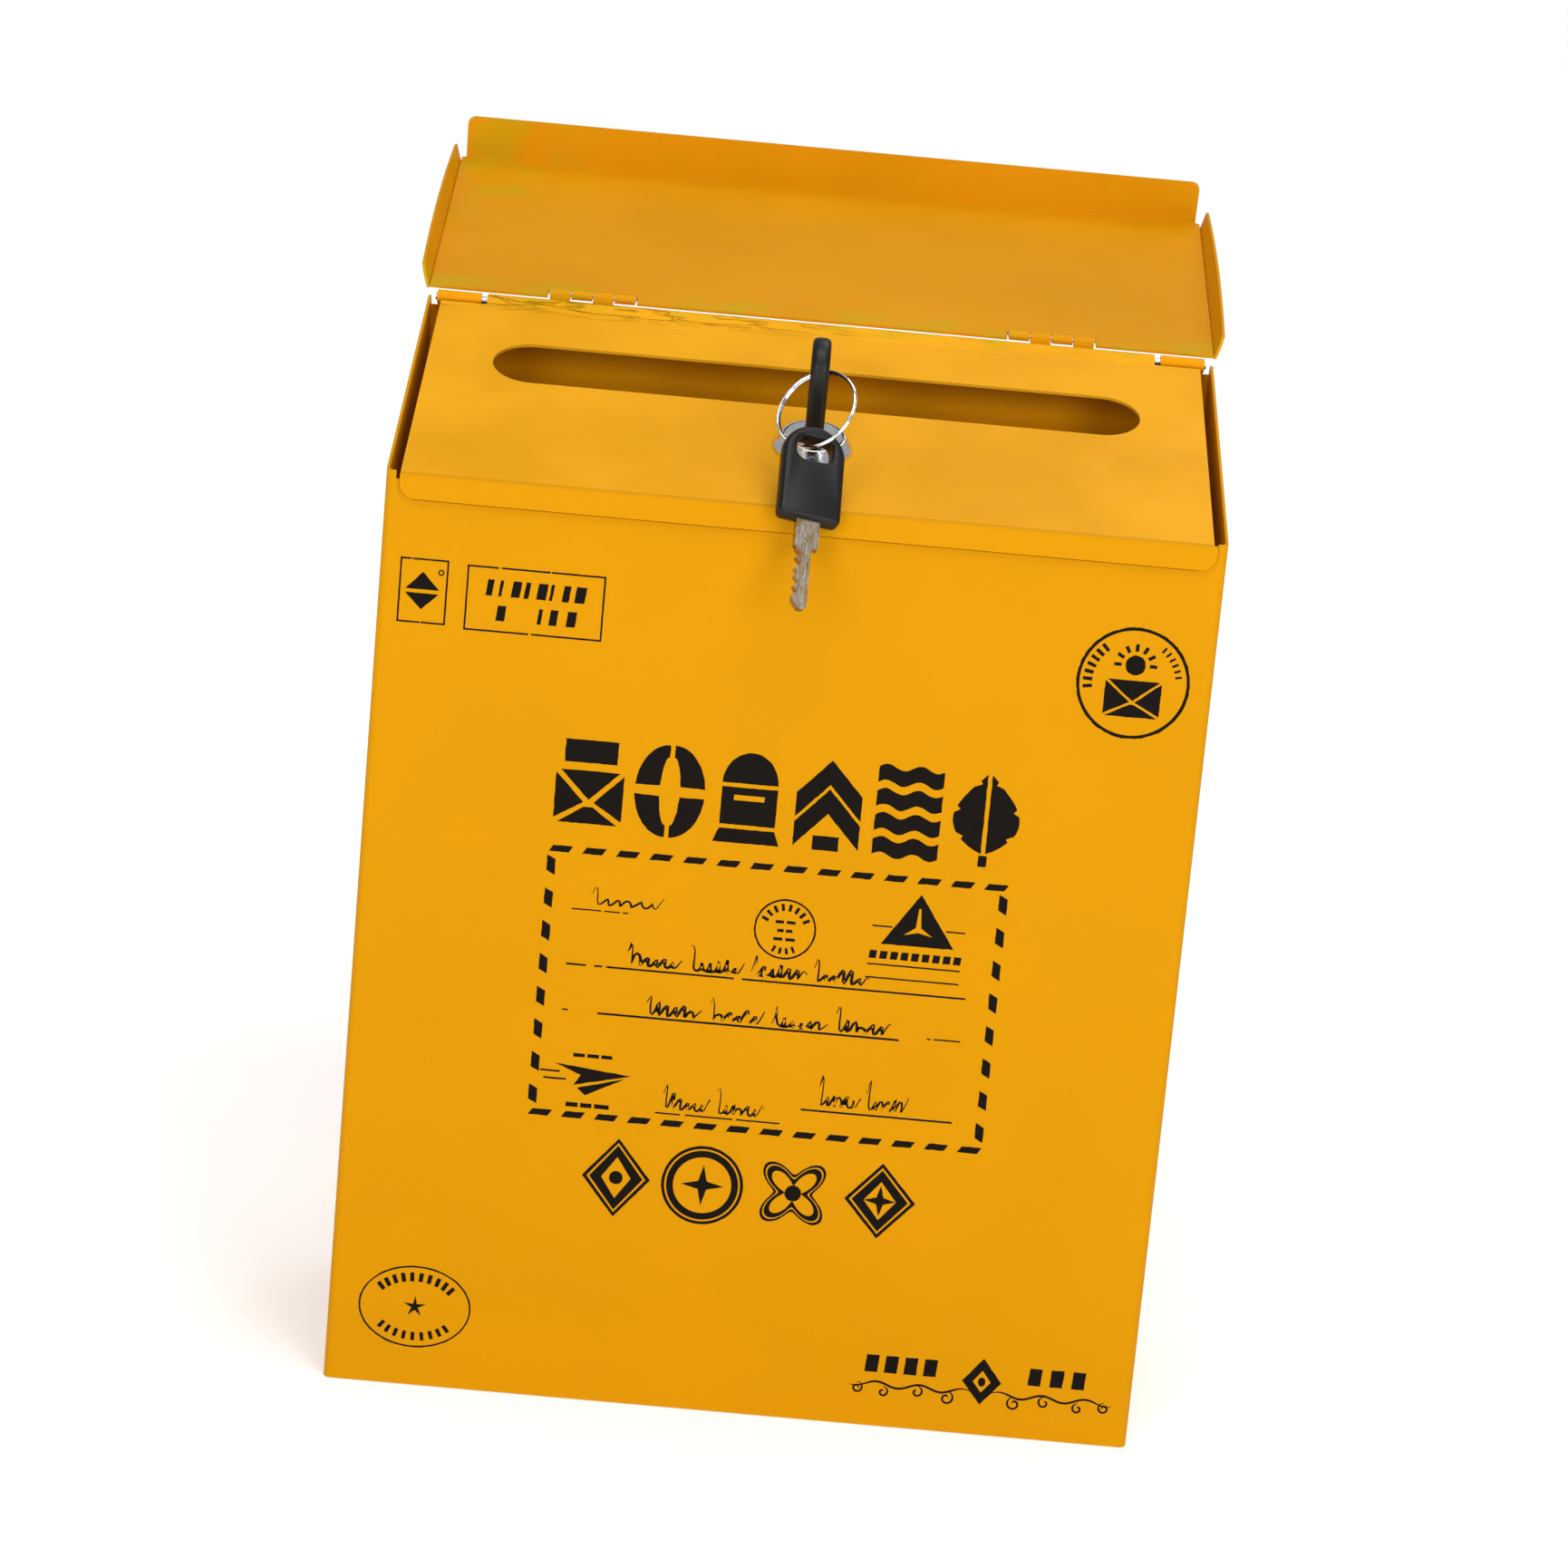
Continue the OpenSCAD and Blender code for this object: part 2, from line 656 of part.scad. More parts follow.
module hinge_pin(side) {
    color(zinc) translate([side * cover_hinge_x - leaf_w / 2, cover_axis_y, cover_axis_z])
        rotate([0, 90, 0]) cylinder(leaf_w, r = cover_pin_r, $fn = fine);
}

module left_fixed_leaf() { fixed_leaf(-1); }
module right_fixed_leaf() { fixed_leaf(1); }
module left_moving_leaf() { moving_leaf(-1); }
module right_moving_leaf() { moving_leaf(1); }
module left_hinge_pin() { hinge_pin(-1); }
module right_hinge_pin() { hinge_pin(1); }

case_wrap();
back_panel();
bottom_panel();
cam_catch();
hinge_rod();
door_panel();
lock_body();
lock_washer();
lock_nut();
lock_plug();
wafers();
wafer_springs();
cam();
cam_screw();
key_one_bow();
key_one_blade();
key_ring();
key_two_bow();
key_two_blade();
cover_panel();
left_fixed_leaf();
left_moving_leaf();
left_hinge_pin();
right_fixed_leaf();
right_moving_leaf();
right_hinge_pin();
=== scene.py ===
"""A wall mailbox of folded, yellow enamelled steel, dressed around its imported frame."""

import json
import math

import bmesh
import bpy
from mathutils import Matrix, Vector, noise
from mathutils.geometry import tessellate_polygon

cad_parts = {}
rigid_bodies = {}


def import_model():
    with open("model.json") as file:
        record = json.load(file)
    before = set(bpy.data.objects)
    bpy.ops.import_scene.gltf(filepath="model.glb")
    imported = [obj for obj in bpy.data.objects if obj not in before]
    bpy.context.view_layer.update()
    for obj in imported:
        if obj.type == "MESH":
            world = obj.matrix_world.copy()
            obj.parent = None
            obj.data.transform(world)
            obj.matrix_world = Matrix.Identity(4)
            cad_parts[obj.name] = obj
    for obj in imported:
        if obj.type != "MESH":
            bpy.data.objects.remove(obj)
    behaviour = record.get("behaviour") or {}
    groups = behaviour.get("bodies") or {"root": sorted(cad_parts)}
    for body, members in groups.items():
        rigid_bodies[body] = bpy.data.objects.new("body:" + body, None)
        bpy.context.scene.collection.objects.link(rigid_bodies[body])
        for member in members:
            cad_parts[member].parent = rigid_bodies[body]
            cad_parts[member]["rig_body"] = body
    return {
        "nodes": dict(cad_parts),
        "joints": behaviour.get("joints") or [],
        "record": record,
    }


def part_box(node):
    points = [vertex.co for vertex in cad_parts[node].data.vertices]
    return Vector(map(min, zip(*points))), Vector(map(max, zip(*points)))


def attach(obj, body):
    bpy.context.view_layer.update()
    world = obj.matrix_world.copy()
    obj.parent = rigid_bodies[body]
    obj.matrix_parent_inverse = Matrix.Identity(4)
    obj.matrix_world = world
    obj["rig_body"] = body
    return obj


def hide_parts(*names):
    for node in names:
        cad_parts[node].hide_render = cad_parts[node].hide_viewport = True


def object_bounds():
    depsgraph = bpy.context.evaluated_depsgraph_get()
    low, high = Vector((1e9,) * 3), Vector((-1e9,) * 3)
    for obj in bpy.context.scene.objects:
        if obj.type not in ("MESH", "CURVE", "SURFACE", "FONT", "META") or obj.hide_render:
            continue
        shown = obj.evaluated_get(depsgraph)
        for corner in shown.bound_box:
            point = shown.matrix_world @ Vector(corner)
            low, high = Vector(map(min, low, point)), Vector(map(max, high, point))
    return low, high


MM = 0.001
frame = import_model()
cad_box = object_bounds()
joints = {joint["name"]: joint for joint in frame["joints"]}
noise.seed_set(5)  # or the worn edges of the prints would differ from run to run


# ------------------------------------------------------------------ small helpers

def linear(code):
    """A sRGB hex colour as linear red, green, blue and alpha."""
    parts = [int(code[i:i + 2], 16) / 255 for i in (1, 3, 5)]
    return [c / 12.92 if c <= 0.04045 else ((c + 0.055) / 1.055) ** 2.4 for c in parts] + [1]


def add(tree, kind, inputs=None, **settings):
    """Adds a node: settings are its properties, an input is a value or the socket that feeds it."""
    node = tree.nodes.new(kind)
    for name, value in settings.items():
        setattr(node, name, value)
    for key, value in (inputs or {}).items():
        if isinstance(value, bpy.types.NodeSocket):
            tree.links.new(value, node.inputs[key])
        else:
            node.inputs[key].default_value = value
    return node


def start_material(name, inputs):
    """A material with one shader, and the tree and shader to add to."""
    made = bpy.data.materials.new(name)
    made.use_nodes = True
    tree = made.node_tree
    tree.nodes.clear()
    shader = add(tree, "ShaderNodeBsdfPrincipled", inputs)
    add(tree, "ShaderNodeOutputMaterial", {"Surface": shader.outputs[0]})
    return made, tree, shader


def mottle(tree, where, size_mm, detail=3.0):
    """A noise whose blotches are about size_mm across."""
    return add(tree, "ShaderNodeTexNoise", {"Vector": where, "Scale": 1 / (size_mm * MM), "Detail": detail})


def between(tree, value, low, high, out_low=0.0, out_high=1.0):
    """The value, read from low to high, as out_low to out_high, smoothly and held at its ends."""
    node = add(tree, "ShaderNodeMapRange", {"Value": value, "From Min": low, "From Max": high,
                                            "To Min": out_low, "To Max": out_high},
               interpolation_type="SMOOTHSTEP")
    return node.outputs[0]


def times(tree, a, b):
    """The product of two values."""
    return add(tree, "ShaderNodeMath", {0: a, 1: b}, operation="MULTIPLY").outputs[0]


def mixed(tree, share, a, b):
    """Colour a, turned to colour b by share."""
    node = add(tree, "ShaderNodeMix", {"Factor": share, "A": a, "B": b}, data_type="RGBA")
    return node.outputs["Result"]


def bumped(tree, shader, heights):
    """Bumps the shader's surface with (height socket, depth in mm, strength) rows."""
    normal = None
    for height, depth, strength in heights:
        inputs = {"Height": height, "Distance": depth * MM, "Strength": strength}
        if normal is not None:
            inputs["Normal"] = normal
        normal = add(tree, "ShaderNodeBump", inputs).outputs[0]
    tree.links.new(normal, shader.inputs["Normal"])


# ------------------------------------------------------------------ materials

# Painted light and shade: the sheets are one enamel, but each gets its own lighter or darker copy, to balance
# how strongly the soft lights reach each of them.
ENAMEL = linear("#CF8D01")
ENAMEL_DOOR = linear("#E8A318")
ENAMEL_COVER = linear("#D8920A")
ENAMEL_DEEP = linear("#C98A02")
ENAMEL_BACK = linear("#F29C02")
# the colour of the painted shadow line under the door's lip
ENAMEL_LIP_SHADOW = linear("#7A3F02")
ENAMEL_GREEN = linear("#B9A312")
ENAMEL_BARE = linear("#DCA424")


def enamel(name, shade, overspray=None, runs=None, lip_y=None, lip_shadow=None):
    """Sprayed and baked enamel on sheet steel: a satin yellow with a faint orange peel,
    a slow wave in the sheet, a little drift in its shade, and in some places a greenish
    overspray or thick runs of paint. A lip before lip_y has the case's shade.
    A painted shadow can be added: the dark line of shade under the door's lip."""
    made, tree, shader = start_material(name, {"Roughness": 0.42, "Specular IOR Level": 0.04})
    where = add(tree, "ShaderNodeTexCoord").outputs["Object"]
    drift = mottle(tree, where, 45).outputs[0]
    colour = mixed(tree, between(tree, drift, 0.35, 0.7, 0, 0.5), shade, ENAMEL_DEEP)
    dust = mottle(tree, where, 1.1, 2.0).outputs[0]
    colour = mixed(tree, between(tree, dust, 0.68, 0.8, 0, 0.35), colour, ENAMEL_BARE)
    if lip_y:
        depth = add(tree, "ShaderNodeSeparateXYZ", {"Vector": where}).outputs[1]
        colour = mixed(tree, between(tree, depth, lip_y + 0.0006, lip_y), colour, ENAMEL)
    if lip_shadow:
        colour = mixed(tree, lip_shadow(tree, where), colour, ENAMEL_LIP_SHADOW)
    if overspray:
        colour = mixed(tree, overspray(tree, where), colour, ENAMEL_GREEN)
    tree.links.new(colour, shader.inputs["Base Color"])
    wear = mottle(tree, where, 9, 4.0).outputs[0]
    tree.links.new(between(tree, wear, 0.3, 0.75, 0.38, 0.5), shader.inputs["Roughness"])
    peel = mottle(tree, where, 1.4, 2.0).outputs[0]
    wave = mottle(tree, where, 70, 0.0).outputs[0]
    heights = [(wave, 0.5, 0.3), (peel, 0.03, 0.3)]
    if runs:
        heights.append((runs(tree, where), 0.9, 1.0))
    bumped(tree, shader, heights)
    return made


def near_hinges(tree, where):
    """Green overspray in the last few millimetres before the hinge line, and at the cover's left."""
    place = add(tree, "ShaderNodeSeparateXYZ", {"Vector": where}).outputs
    flat = add(tree, "ShaderNodeMapping", {"Vector": where, "Scale": (0, 1, 1)}).outputs[0]
    hinge = (0, joints["cover_hinge"]["pos_m"][1], HINGE_Z)
    away = add(tree, "ShaderNodeVectorMath", {0: flat, 1: hinge}, operation="DISTANCE").outputs["Value"]
    spots = mottle(tree, where, 14, 3.0).outputs[0]
    left = times(tree, between(tree, place[0], -0.062, -0.092), between(tree, place[1], 0.085, 0.14))
    both = add(tree, "ShaderNodeMath", {0: left, 1: between(tree, away, 0.0085, 0.005)},
               operation="MAXIMUM").outputs[0]
    return times(tree, times(tree, both, between(tree, spots, 0.4, 0.66)), 0.5)


def painted_lip_shadow(tree, where):
    """A painted shadow on the front sheet: a dark line about 0.8 mm high, half behind the lip's lower edge,
    where the lip shades it.
    """
    none, full = 0.0006, 0.0002
    half_length, fade, strength = 0.101, 0.0015, 0.75
    place = add(tree, "ShaderNodeSeparateXYZ", {"Vector": where}).outputs
    over = between(tree, place[2], LIP_LOW_Z - none, LIP_LOW_Z - full)
    under = between(tree, place[2], LIP_LOW_Z + none, LIP_LOW_Z + full)
    band = times(tree, over, under)
    before = between(tree, place[1], FRONT_Y + 0.0003, FRONT_Y + 0.0001)
    side = add(tree, "ShaderNodeMath", {0: place[0]}, operation="ABSOLUTE").outputs[0]
    along = between(tree, side, half_length, half_length - fade)
    return times(tree, times(tree, times(tree, band, before), along), strength)


def door_runs(tree, where):
    """Wrinkled runs of thick paint along the door's hinge edge, strongest at the left."""
    place = add(tree, "ShaderNodeSeparateXYZ", {"Vector": where}).outputs
    long_way = add(tree, "ShaderNodeMapping", {"Vector": where, "Scale": (1, 7, 7)}).outputs[0]
    ripple = mottle(tree, long_way, 22, 2.5).outputs[0]
    ridge = add(tree, "ShaderNodeMath", {0: ripple, 1: 0.5}, operation="SUBTRACT").outputs[0]
    fold = add(tree, "ShaderNodeMath", {0: ridge}, operation="ABSOLUTE").outputs[0]
    line = between(tree, fold, 0.0, 0.06, 1.0, 0.0)
    high = between(tree, place[2], DOOR_RUN_Z, DOOR_RUN_Z + 0.0022)
    left = between(tree, place[0], 0.03, -0.05, 0.12, 1.0)
    return times(tree, times(tree, line, high), left)


def zinc():
    """Zinc plated steel: a cool grey with small crystals and a soft, uneven shine."""
    made, tree, shader = start_material("zinc_plated_steel", {"Metallic": 1.0, "Roughness": 0.36})
    where = add(tree, "ShaderNodeTexCoord").outputs["Object"]
    crystals = add(tree, "ShaderNodeTexVoronoi", {"Vector": where, "Scale": 1 / (1.6 * MM)}).outputs["Color"]
    colour = mixed(tree, crystals, linear("#B4B7BA"), linear("#CBCDCE"))
    tree.links.new(colour, shader.inputs["Base Color"])
    haze = mottle(tree, where, 3, 4.0).outputs[0]
    tree.links.new(between(tree, haze, 0.3, 0.7, 0.28, 0.46), shader.inputs["Roughness"])
    bumped(tree, shader, [(haze, 0.03, 0.4)])
    return made


def chrome():
    """Chromed zinc casting: bright, a little blue, with a faint cloudy waviness and faint pitting."""
    made, tree, shader = start_material("chromed_casting", {"Metallic": 1.0, "Roughness": 0.12,
                                                            "Base Color": linear("#EDEFF3")})
    where = add(tree, "ShaderNodeTexCoord").outputs["Object"]
    haze = mottle(tree, where, 2.2, 5.0).outputs[0]
    tree.links.new(between(tree, haze, 0.35, 0.7, 0.07, 0.2), shader.inputs["Roughness"])
    cloud = mottle(tree, where, 3.2, 2.0).outputs[0]
    pits = mottle(tree, where, 0.7, 3.0).outputs[0]
    bumped(tree, shader, [(cloud, 0.25, 0.6), (pits, 0.02, 0.35)])
    return made


def nickel():
    """Nickel plate worn over brass: warm silver, mottled towards brass at random, with milling lines."""
    made, tree, shader = start_material("nickel_plated_brass", {"Metallic": 1.0, "Roughness": 0.22})
    where = add(tree, "ShaderNodeTexCoord").outputs["Object"]
    worn = mottle(tree, where, 4, 4.0).outputs[0]
    colour = mixed(tree, between(tree, worn, 0.4, 0.68), linear("#A9A092"), linear("#9C7B50"))
    tree.links.new(colour, shader.inputs["Base Color"])
    drawn = add(tree, "ShaderNodeMapping", {"Vector": where, "Scale": (9, 1, 1)}).outputs[0]
    lines = mottle(tree, drawn, 3, 3.0).outputs[0]
    tree.links.new(between(tree, lines, 0.3, 0.7, 0.2, 0.36), shader.inputs["Roughness"])
    bumped(tree, shader, [(lines, 0.01, 0.12)])
    return made


def wafer_brass():
    """Stamped brass: yellow metal with fine rolling lines."""
    made, tree, shader = start_material("stamped_brass", {"Metallic": 1.0, "Roughness": 0.3})
    where = add(tree, "ShaderNodeTexCoord").outputs["Object"]
    tone = mottle(tree, where, 2.5, 4.0).outputs[0]
    colour = mixed(tree, tone, linear("#C9A24E"), linear("#E0C27A"))
    tree.links.new(colour, shader.inputs["Base Color"])
    bumped(tree, shader, [(tone, 0.02, 0.4)])
    return made


def moulded_black():
    """Injection moulded black plastic: warm near-black, satin, with a fine spark-eroded grain
    and a slow shrink wave under it."""
    made, tree, shader = start_material("moulded_black_plastic", {"Roughness": 0.4,
                                                                  "Specular IOR Level": 0.3})
    where = add(tree, "ShaderNodeTexCoord").outputs["Object"]
    tone = mottle(tree, where, 5, 3.0).outputs[0]
    colour = mixed(tree, tone, linear("#0B0A09"), linear("#12100F"))
    tree.links.new(colour, shader.inputs["Base Color"])
    grain = mottle(tree, where, 0.3, 2.0).outputs[0]
    tree.links.new(between(tree, grain, 0.3, 0.7, 0.34, 0.5), shader.inputs["Roughness"])
    sink = mottle(tree, where, 7, 0.0).outputs[0]
    bumped(tree, shader, [(sink, 0.25, 0.5), (grain, 0.02, 0.5)])
    return made


def print_ink():
    """Pad printed ink: flat warm black, a little thin where the pad lifted."""
    made, tree, shader = start_material("pad_printed_ink", {"Roughness": 0.6, "Specular IOR Level": 0.08})
    where = add(tree, "ShaderNodeTexCoord").outputs["Object"]
    thin = mottle(tree, where, 2.4, 5.0).outputs[0]
    colour = mixed(tree, between(tree, thin, 0.62, 0.8, 0, 0.6), linear("#100A05"), linear("#2E1B06"))
    tree.links.new(colour, shader.inputs["Base Color"])
    bumped(tree, shader, [(thin, 0.02, 0.3)])
    return made


def pale_floor():
    """Matt white studio board that glows a little, and more away from its middle."""
    made, tree, shader = start_material("studio_board", {"Roughness": 0.9, "Specular IOR Level": 0.0,
                                                         "Emission Color": (1, 1, 1, 1)})
    where = add(tree, "ShaderNodeTexCoord").outputs["Object"]
    fibre = mottle(tree, where, 30, 4.0).outputs[0]
    colour = mixed(tree, fibre, linear("#F6F6F6"), linear("#FAFAFA"))
    tree.links.new(colour, shader.inputs["Base Color"])
    away = add(tree, "ShaderNodeVectorMath", {0: where}, operation="LENGTH").outputs["Value"]
    tree.links.new(between(tree, away, 0.2, 1.0, 0.34, 0.66), shader.inputs["Emission Strength"])
    return made


# ------------------------------------------------------------------ places, all from the frame

def reach(node, direction):
    """The lowest and highest distance of a CAD node along a direction, in metres."""
    along = [v.co.dot(direction) for v in frame["nodes"][node].data.vertices]
    return min(along), max(along)


def seat(node, across, up):
    """A right-handed frame on a CAD node, in millimetres: x and y in its middle, z at its low end."""
    z = Vector(up).normalized()
    x = (Vector(across) - Vector(across).dot(z) * z).normalized()
    y = z.cross(x)
    spot = Vector((0, 0, 0))
    for axis, low in ((x, False), (y, False), (z, True)):
        bottom, top = reach(node, axis)
        spot += axis * (bottom if low else (bottom + top) / 2)
    turned = Matrix((x, y, z)).transposed().to_4x4()
    return Matrix.Translation(spot) @ turned @ Matrix.Scale(MM, 4)


RIGHT = Vector((1, 0, 0))
case_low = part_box("case_wrap")[0]
FRONT_Y = case_low.y
HINGE_Z = joints["cover_hinge"]["pos_m"][2]
LOCK_AXIS = Vector(joints["lock_turn"]["axis"])
LOCK_SPOT = Vector(joints["lock_turn"]["pos_m"])
UPHILL = LOCK_AXIS.cross(RIGHT)
DOOR_RUN_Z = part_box("door_panel")[1].z - 0.0042
LIP_LOW_Z = min(v.co.z for v in frame["nodes"]["door_panel"].data.vertices if v.co.y < FRONT_Y)


# ------------------------------------------------------------------ mesh helpers

def piece(name, points, faces, finish, body, replaced=(), smooth=35):
    """A closed mesh, given in metres in the row frame, that rides on a body."""
    mesh = bpy.data.meshes.new(name)
    mesh.from_pydata([tuple(p) for p in points], [], faces)
    mesh.validate()
    return dress(name, mesh, finish, body, replaced, smooth)


def dress(name, mesh, finish, body, replaced=(), smooth=35):
    """Gives a mesh outward normals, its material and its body. Edges that turn by
    less than smooth degrees are shaded smooth."""
    no_angle = 4
    work = bmesh.new()
    work.from_mesh(mesh)
    bmesh.ops.remove_doubles(work, verts=work.verts, dist=1e-7)
    bmesh.ops.recalc_face_normals(work, faces=work.faces)
    for edge in work.edges:
        edge.smooth = edge.is_manifold and edge.calc_face_angle(no_angle) < math.radians(smooth)
    for face in work.faces:
        face.smooth = True
        face.material_index = 0
    work.to_mesh(mesh)
    work.free()
    mesh.materials.clear()
    mesh.materials.append(finish)
    made = bpy.data.objects.new(name, mesh)
    bpy.context.scene.collection.objects.link(made)
    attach(made, body)
    if replaced:
        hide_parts(*replaced)
    return made


def eased(node, name, finish, width, segments=2):
    """A copy of a CAD node with its sharp edges rounded by width, in millimetres."""
    flat_below, sharp_above = math.radians(0.6), math.radians(32)
    mesh = frame["nodes"][node].data.copy()
    work = bmesh.new()
    work.from_mesh(mesh)
    bmesh.ops.remove_doubles(work, verts=work.verts, dist=2e-6)
    bmesh.ops.dissolve_limit(work, angle_limit=flat_below, verts=work.verts, edges=work.edges)
    sharp = [e for e in work.edges if e.is_manifold and e.calc_face_angle(0) > sharp_above]
    bmesh.ops.bevel(work, geom=sharp, offset=width * MM, offset_type="OFFSET", segments=segments,
                    profile=0.5, affect="EDGES", clamp_overlap=True)
    bmesh.ops.triangulate(work, faces=[f for f in work.faces if len(f.verts) > 4])
    work.to_mesh(mesh)
    work.free()
    body = next(b for b, nodes in frame["record"]["behaviour"]["bodies"].items() if node in nodes)
    made = dress(name, mesh, finish, body, [node])
    flats = made.modifiers.new("flats_stay_flat", "WEIGHTED_NORMAL")
    flats.keep_sharp = True
    flats.weight = 100
    return made


def skin(rings, closed_up=False):
    """Faces over rings of equal length; the ends are capped, or joined where closed_up."""
    count = len(rings[0])
    points = [p for ring in rings for p in ring]
    faces = []
    rows = len(rings) if closed_up else len(rings) - 1
    for i in range(rows):
        here = i * count
        there = (i + 1) % len(rings) * count
        for j in range(count):
            k = (j + 1) % count
            faces.append((here + j, here + k, there + k, there + j))
    if not closed_up:
        faces.append(tuple(range(count))[::-1])
        faces.append(tuple(range((len(rings) - 1) * count, len(rings) * count)))
    return points, faces


# ------------------------------------------------------------------ prints on the front

def oval(x, z, rx, rz=None, count=64):
    """An oval's loop, or a circle's where only one radius is given."""
    rz = rx if rz is None else rz
    return [(x + rx * math.cos(2 * math.pi * i / count), z + rz * math.sin(2 * math.pi * i / count))
            for i in range(count)]


def block(x0, z0, x1, z1, lean=0.0):
    """A four-sided patch; its top is moved right by lean."""
    return [(x0, z0), (x1, z0), (x1 + lean, z1), (x0 + lean, z1)]


def shifted(loop, x, z, size=1.0, turn=0.0):
    """The loop turned by turn degrees, resized, and moved to x and z."""
    c = math.cos(math.radians(turn)) * size
    s = math.sin(math.radians(turn)) * size
    return [(x + c * a - s * b, z + s * a + c * b) for a, b in loop]


def star(x, z, long_r, short_r, tips=5, turn=90.0):
    """A star's loop, with its first tip at turn degrees."""
    rays = []
    for i in range(2 * tips):
        r = long_r if i % 2 == 0 else short_r
        a = math.radians(turn + 180 * i / tips)
        rays.append((x + r * math.cos(a), z + r * math.sin(a)))
    return rays


def worn(loop, depth=0.13, step=0.9):
    """The loop with points every step mm, moved in and out as an old stamp's edge is."""
    out = []
    for (x0, z0), (x1, z1) in zip(loop, loop[1:] + loop[:1]):
        length = math.hypot(x1 - x0, z1 - z0)
        parts = max(1, round(length / step))
        for i in range(parts):
            t = i / parts
            p = Vector((x0 + (x1 - x0) * t, z0 + (z1 - z0) * t, 0))
            shake = noise.noise_vector(p * 0.9)
            out.append((p.x + depth * shake.x, p.y + depth * shake.y))
    return out


def ribbon(line, width, taper=0.25):
    """A pen stroke along a line of points, thinner at its ends."""
    left, right = [], []
    last = len(line) - 1
    for i, (x, z) in enumerate(line):
        ax, az = line[max(0, i - 1)]
        bx, bz = line[min(last, i + 1)]
        run = math.hypot(bx - ax, bz - az) or 1
        share = min(1, taper + 4 * min(i, last - i) / last) if last > 1 else 1
        half = width / 2 * share
        left.append((x - (bz - az) / run * half, z + (bx - ax) / run * half))
        right.append((x + (bz - az) / run * half, z - (bx - ax) / run * half))
    return left + right[::-1]


def rule(x0, x1, z, width=0.45, gaps=()):
    """A ruled line with gaps, as shares of its length."""
    marks = [0] + [g for gap in gaps for g in gap] + [1]
    return [[worn(block(x0 + (x1 - x0) * a, z - width / 2, x0 + (x1 - x0) * b, z + width / 2), 0.06)]
            for a, b in zip(marks[::2], marks[1::2])]


def outline(x0, z0, x1, z1, width=0.45):
    """A ruled box, as four worn lines with small breaks."""
    w = width
    return (rule(x0, x1, z0, w, ((0.47, 0.49),)) + rule(x0, x1, z1, w, ((0.22, 0.24), (0.6, 0.61)))
            + [[worn(block(x - w / 2, z0 - w / 2, x + w / 2, z1 + w / 2), 0.06)] for x in (x0, x1)])


def scrawl(x0, x1, z, height, seed, width=0.55):
    """A wavy pen line that rises and falls like handwriting, and spells nothing."""
    strokes = []
    words = max(1, round((x1 - x0) / 15))
    span = (x1 - x0) / words
    for w in range(words):
        line = []
        steps = 44
        for i in range(steps + 1):
            t = i / steps
            sway = noise.noise(Vector((t * 3.1, seed, w * 7.3)))
            rise = abs(noise.noise(Vector((t * 2.3 + 4, seed + 9, w * 3.1))))
            x = x0 + span * (w + 0.86 * t) + 0.45 * math.sin(t * 40) + 0.3 * sway
            tall = height * (0.28 + 0.9 * rise) + height * 0.9 * max(0, 1 - 7 * t)
            line.append((x, z + tall * (0.55 + 0.5 * math.sin(t * 40 + 3 * sway))))
        strokes.append([ribbon(line, width)])
    return strokes


def ticks(x, z, rx, rz, start, end, count, tall, wide):
    """Short bars set round an oval, where such a stamp has its ring of words."""
    bars = []
    for i in range(count):
        a = math.radians(start + (end - start) * i / (count - 1))
        bar = block(-wide / 2, -tall / 2, wide / 2, tall / 2)
        facing = math.degrees(math.atan2(math.sin(a) / rz, math.cos(a) / rx)) - 90
        bars.append([worn(shifted(bar, x + rx * math.cos(a), z + rz * math.sin(a), 1, facing), 0.08)])
    return bars


def envelope(x, z, w, h, bridge):
    """A closed envelope as four stencil fields with gaps for its flaps."""
    g = bridge
    mid = z + h * 0.42
    top = [(x - w / 2 + g, z + h), (x + w / 2 - g, z + h), (x, mid + g * 0.4)]
    left = [(x - w / 2, z + h - g * 0.7), (x - w / 2, z + g), (x - g * 1.2, mid - g * 0.2)]
    right = [(2 * x - a, b) for a, b in left][::-1]
    low = [(x - w / 2 + g, z), (x + w / 2 - g, z), (x + g, mid - g * 1.3), (x - g, mid - g * 1.3)]
    return [[worn(loop)] for loop in (top, left, right, low)]


def globe(x, z, rx, rz, bridge):
    """A globe in two stencil halves, each with a field cut out of it."""
    fields = []
    for side in (-1, 1):
        outer = [(x + side * (bridge / 2 + (rx - bridge / 2) * math.sin(a)), z + rz * math.cos(a))
                 for a in [math.pi * i / 30 for i in range(31)]]
        inner = [(x + side * (bridge / 2 + 0.22 * rx * math.sin(a)), z + 0.74 * rz * math.cos(a))
                 for a in [math.pi * i / 20 for i in range(20, -1, -1)]]
        for low, high in ((-rz - 1, -bridge * 0.55), (bridge * 0.55, rz + 1)):
            part = [p for p in outer if low < p[1] - z < high] + [p for p in inner if low < p[1] - z < high]
            fields.append([worn(part)])
    return fields


def waves(x, z, w, h, count, thick):
    """Cancelling waves: thick wavy bars, one above another."""
    bars = []
    for i in range(count):
        level = z + thick / 2 + (h - thick) * i / (count - 1)
        low = [(x - w / 2 + w * t / 20, level - thick / 2 + 0.8 * math.sin(t * 0.62)) for t in range(21)]
        high = [(a, b + thick) for a, b in low[::-1]]
        bars.append([worn(low + high)])
    return bars


def chevrons(x, z, w, h):
    """Two arrow heads, one over the other, and a short shaft under them."""
    t = h * 0.27
    marks = []
    for base in (0.62 * h, 0.3 * h):
        marks.append([(x - w / 2, z + base - t), (x, z + base + h * 0.38 - t), (x + w / 2, z + base - t),
                      (x + w / 2, z + base), (x, z + base + h * 0.38), (x - w / 2, z + base)])
    marks.append(block(x - w * 0.2, z, x + w * 0.2, z + h * 0.16))
    return [[worn(m)] for m in marks]


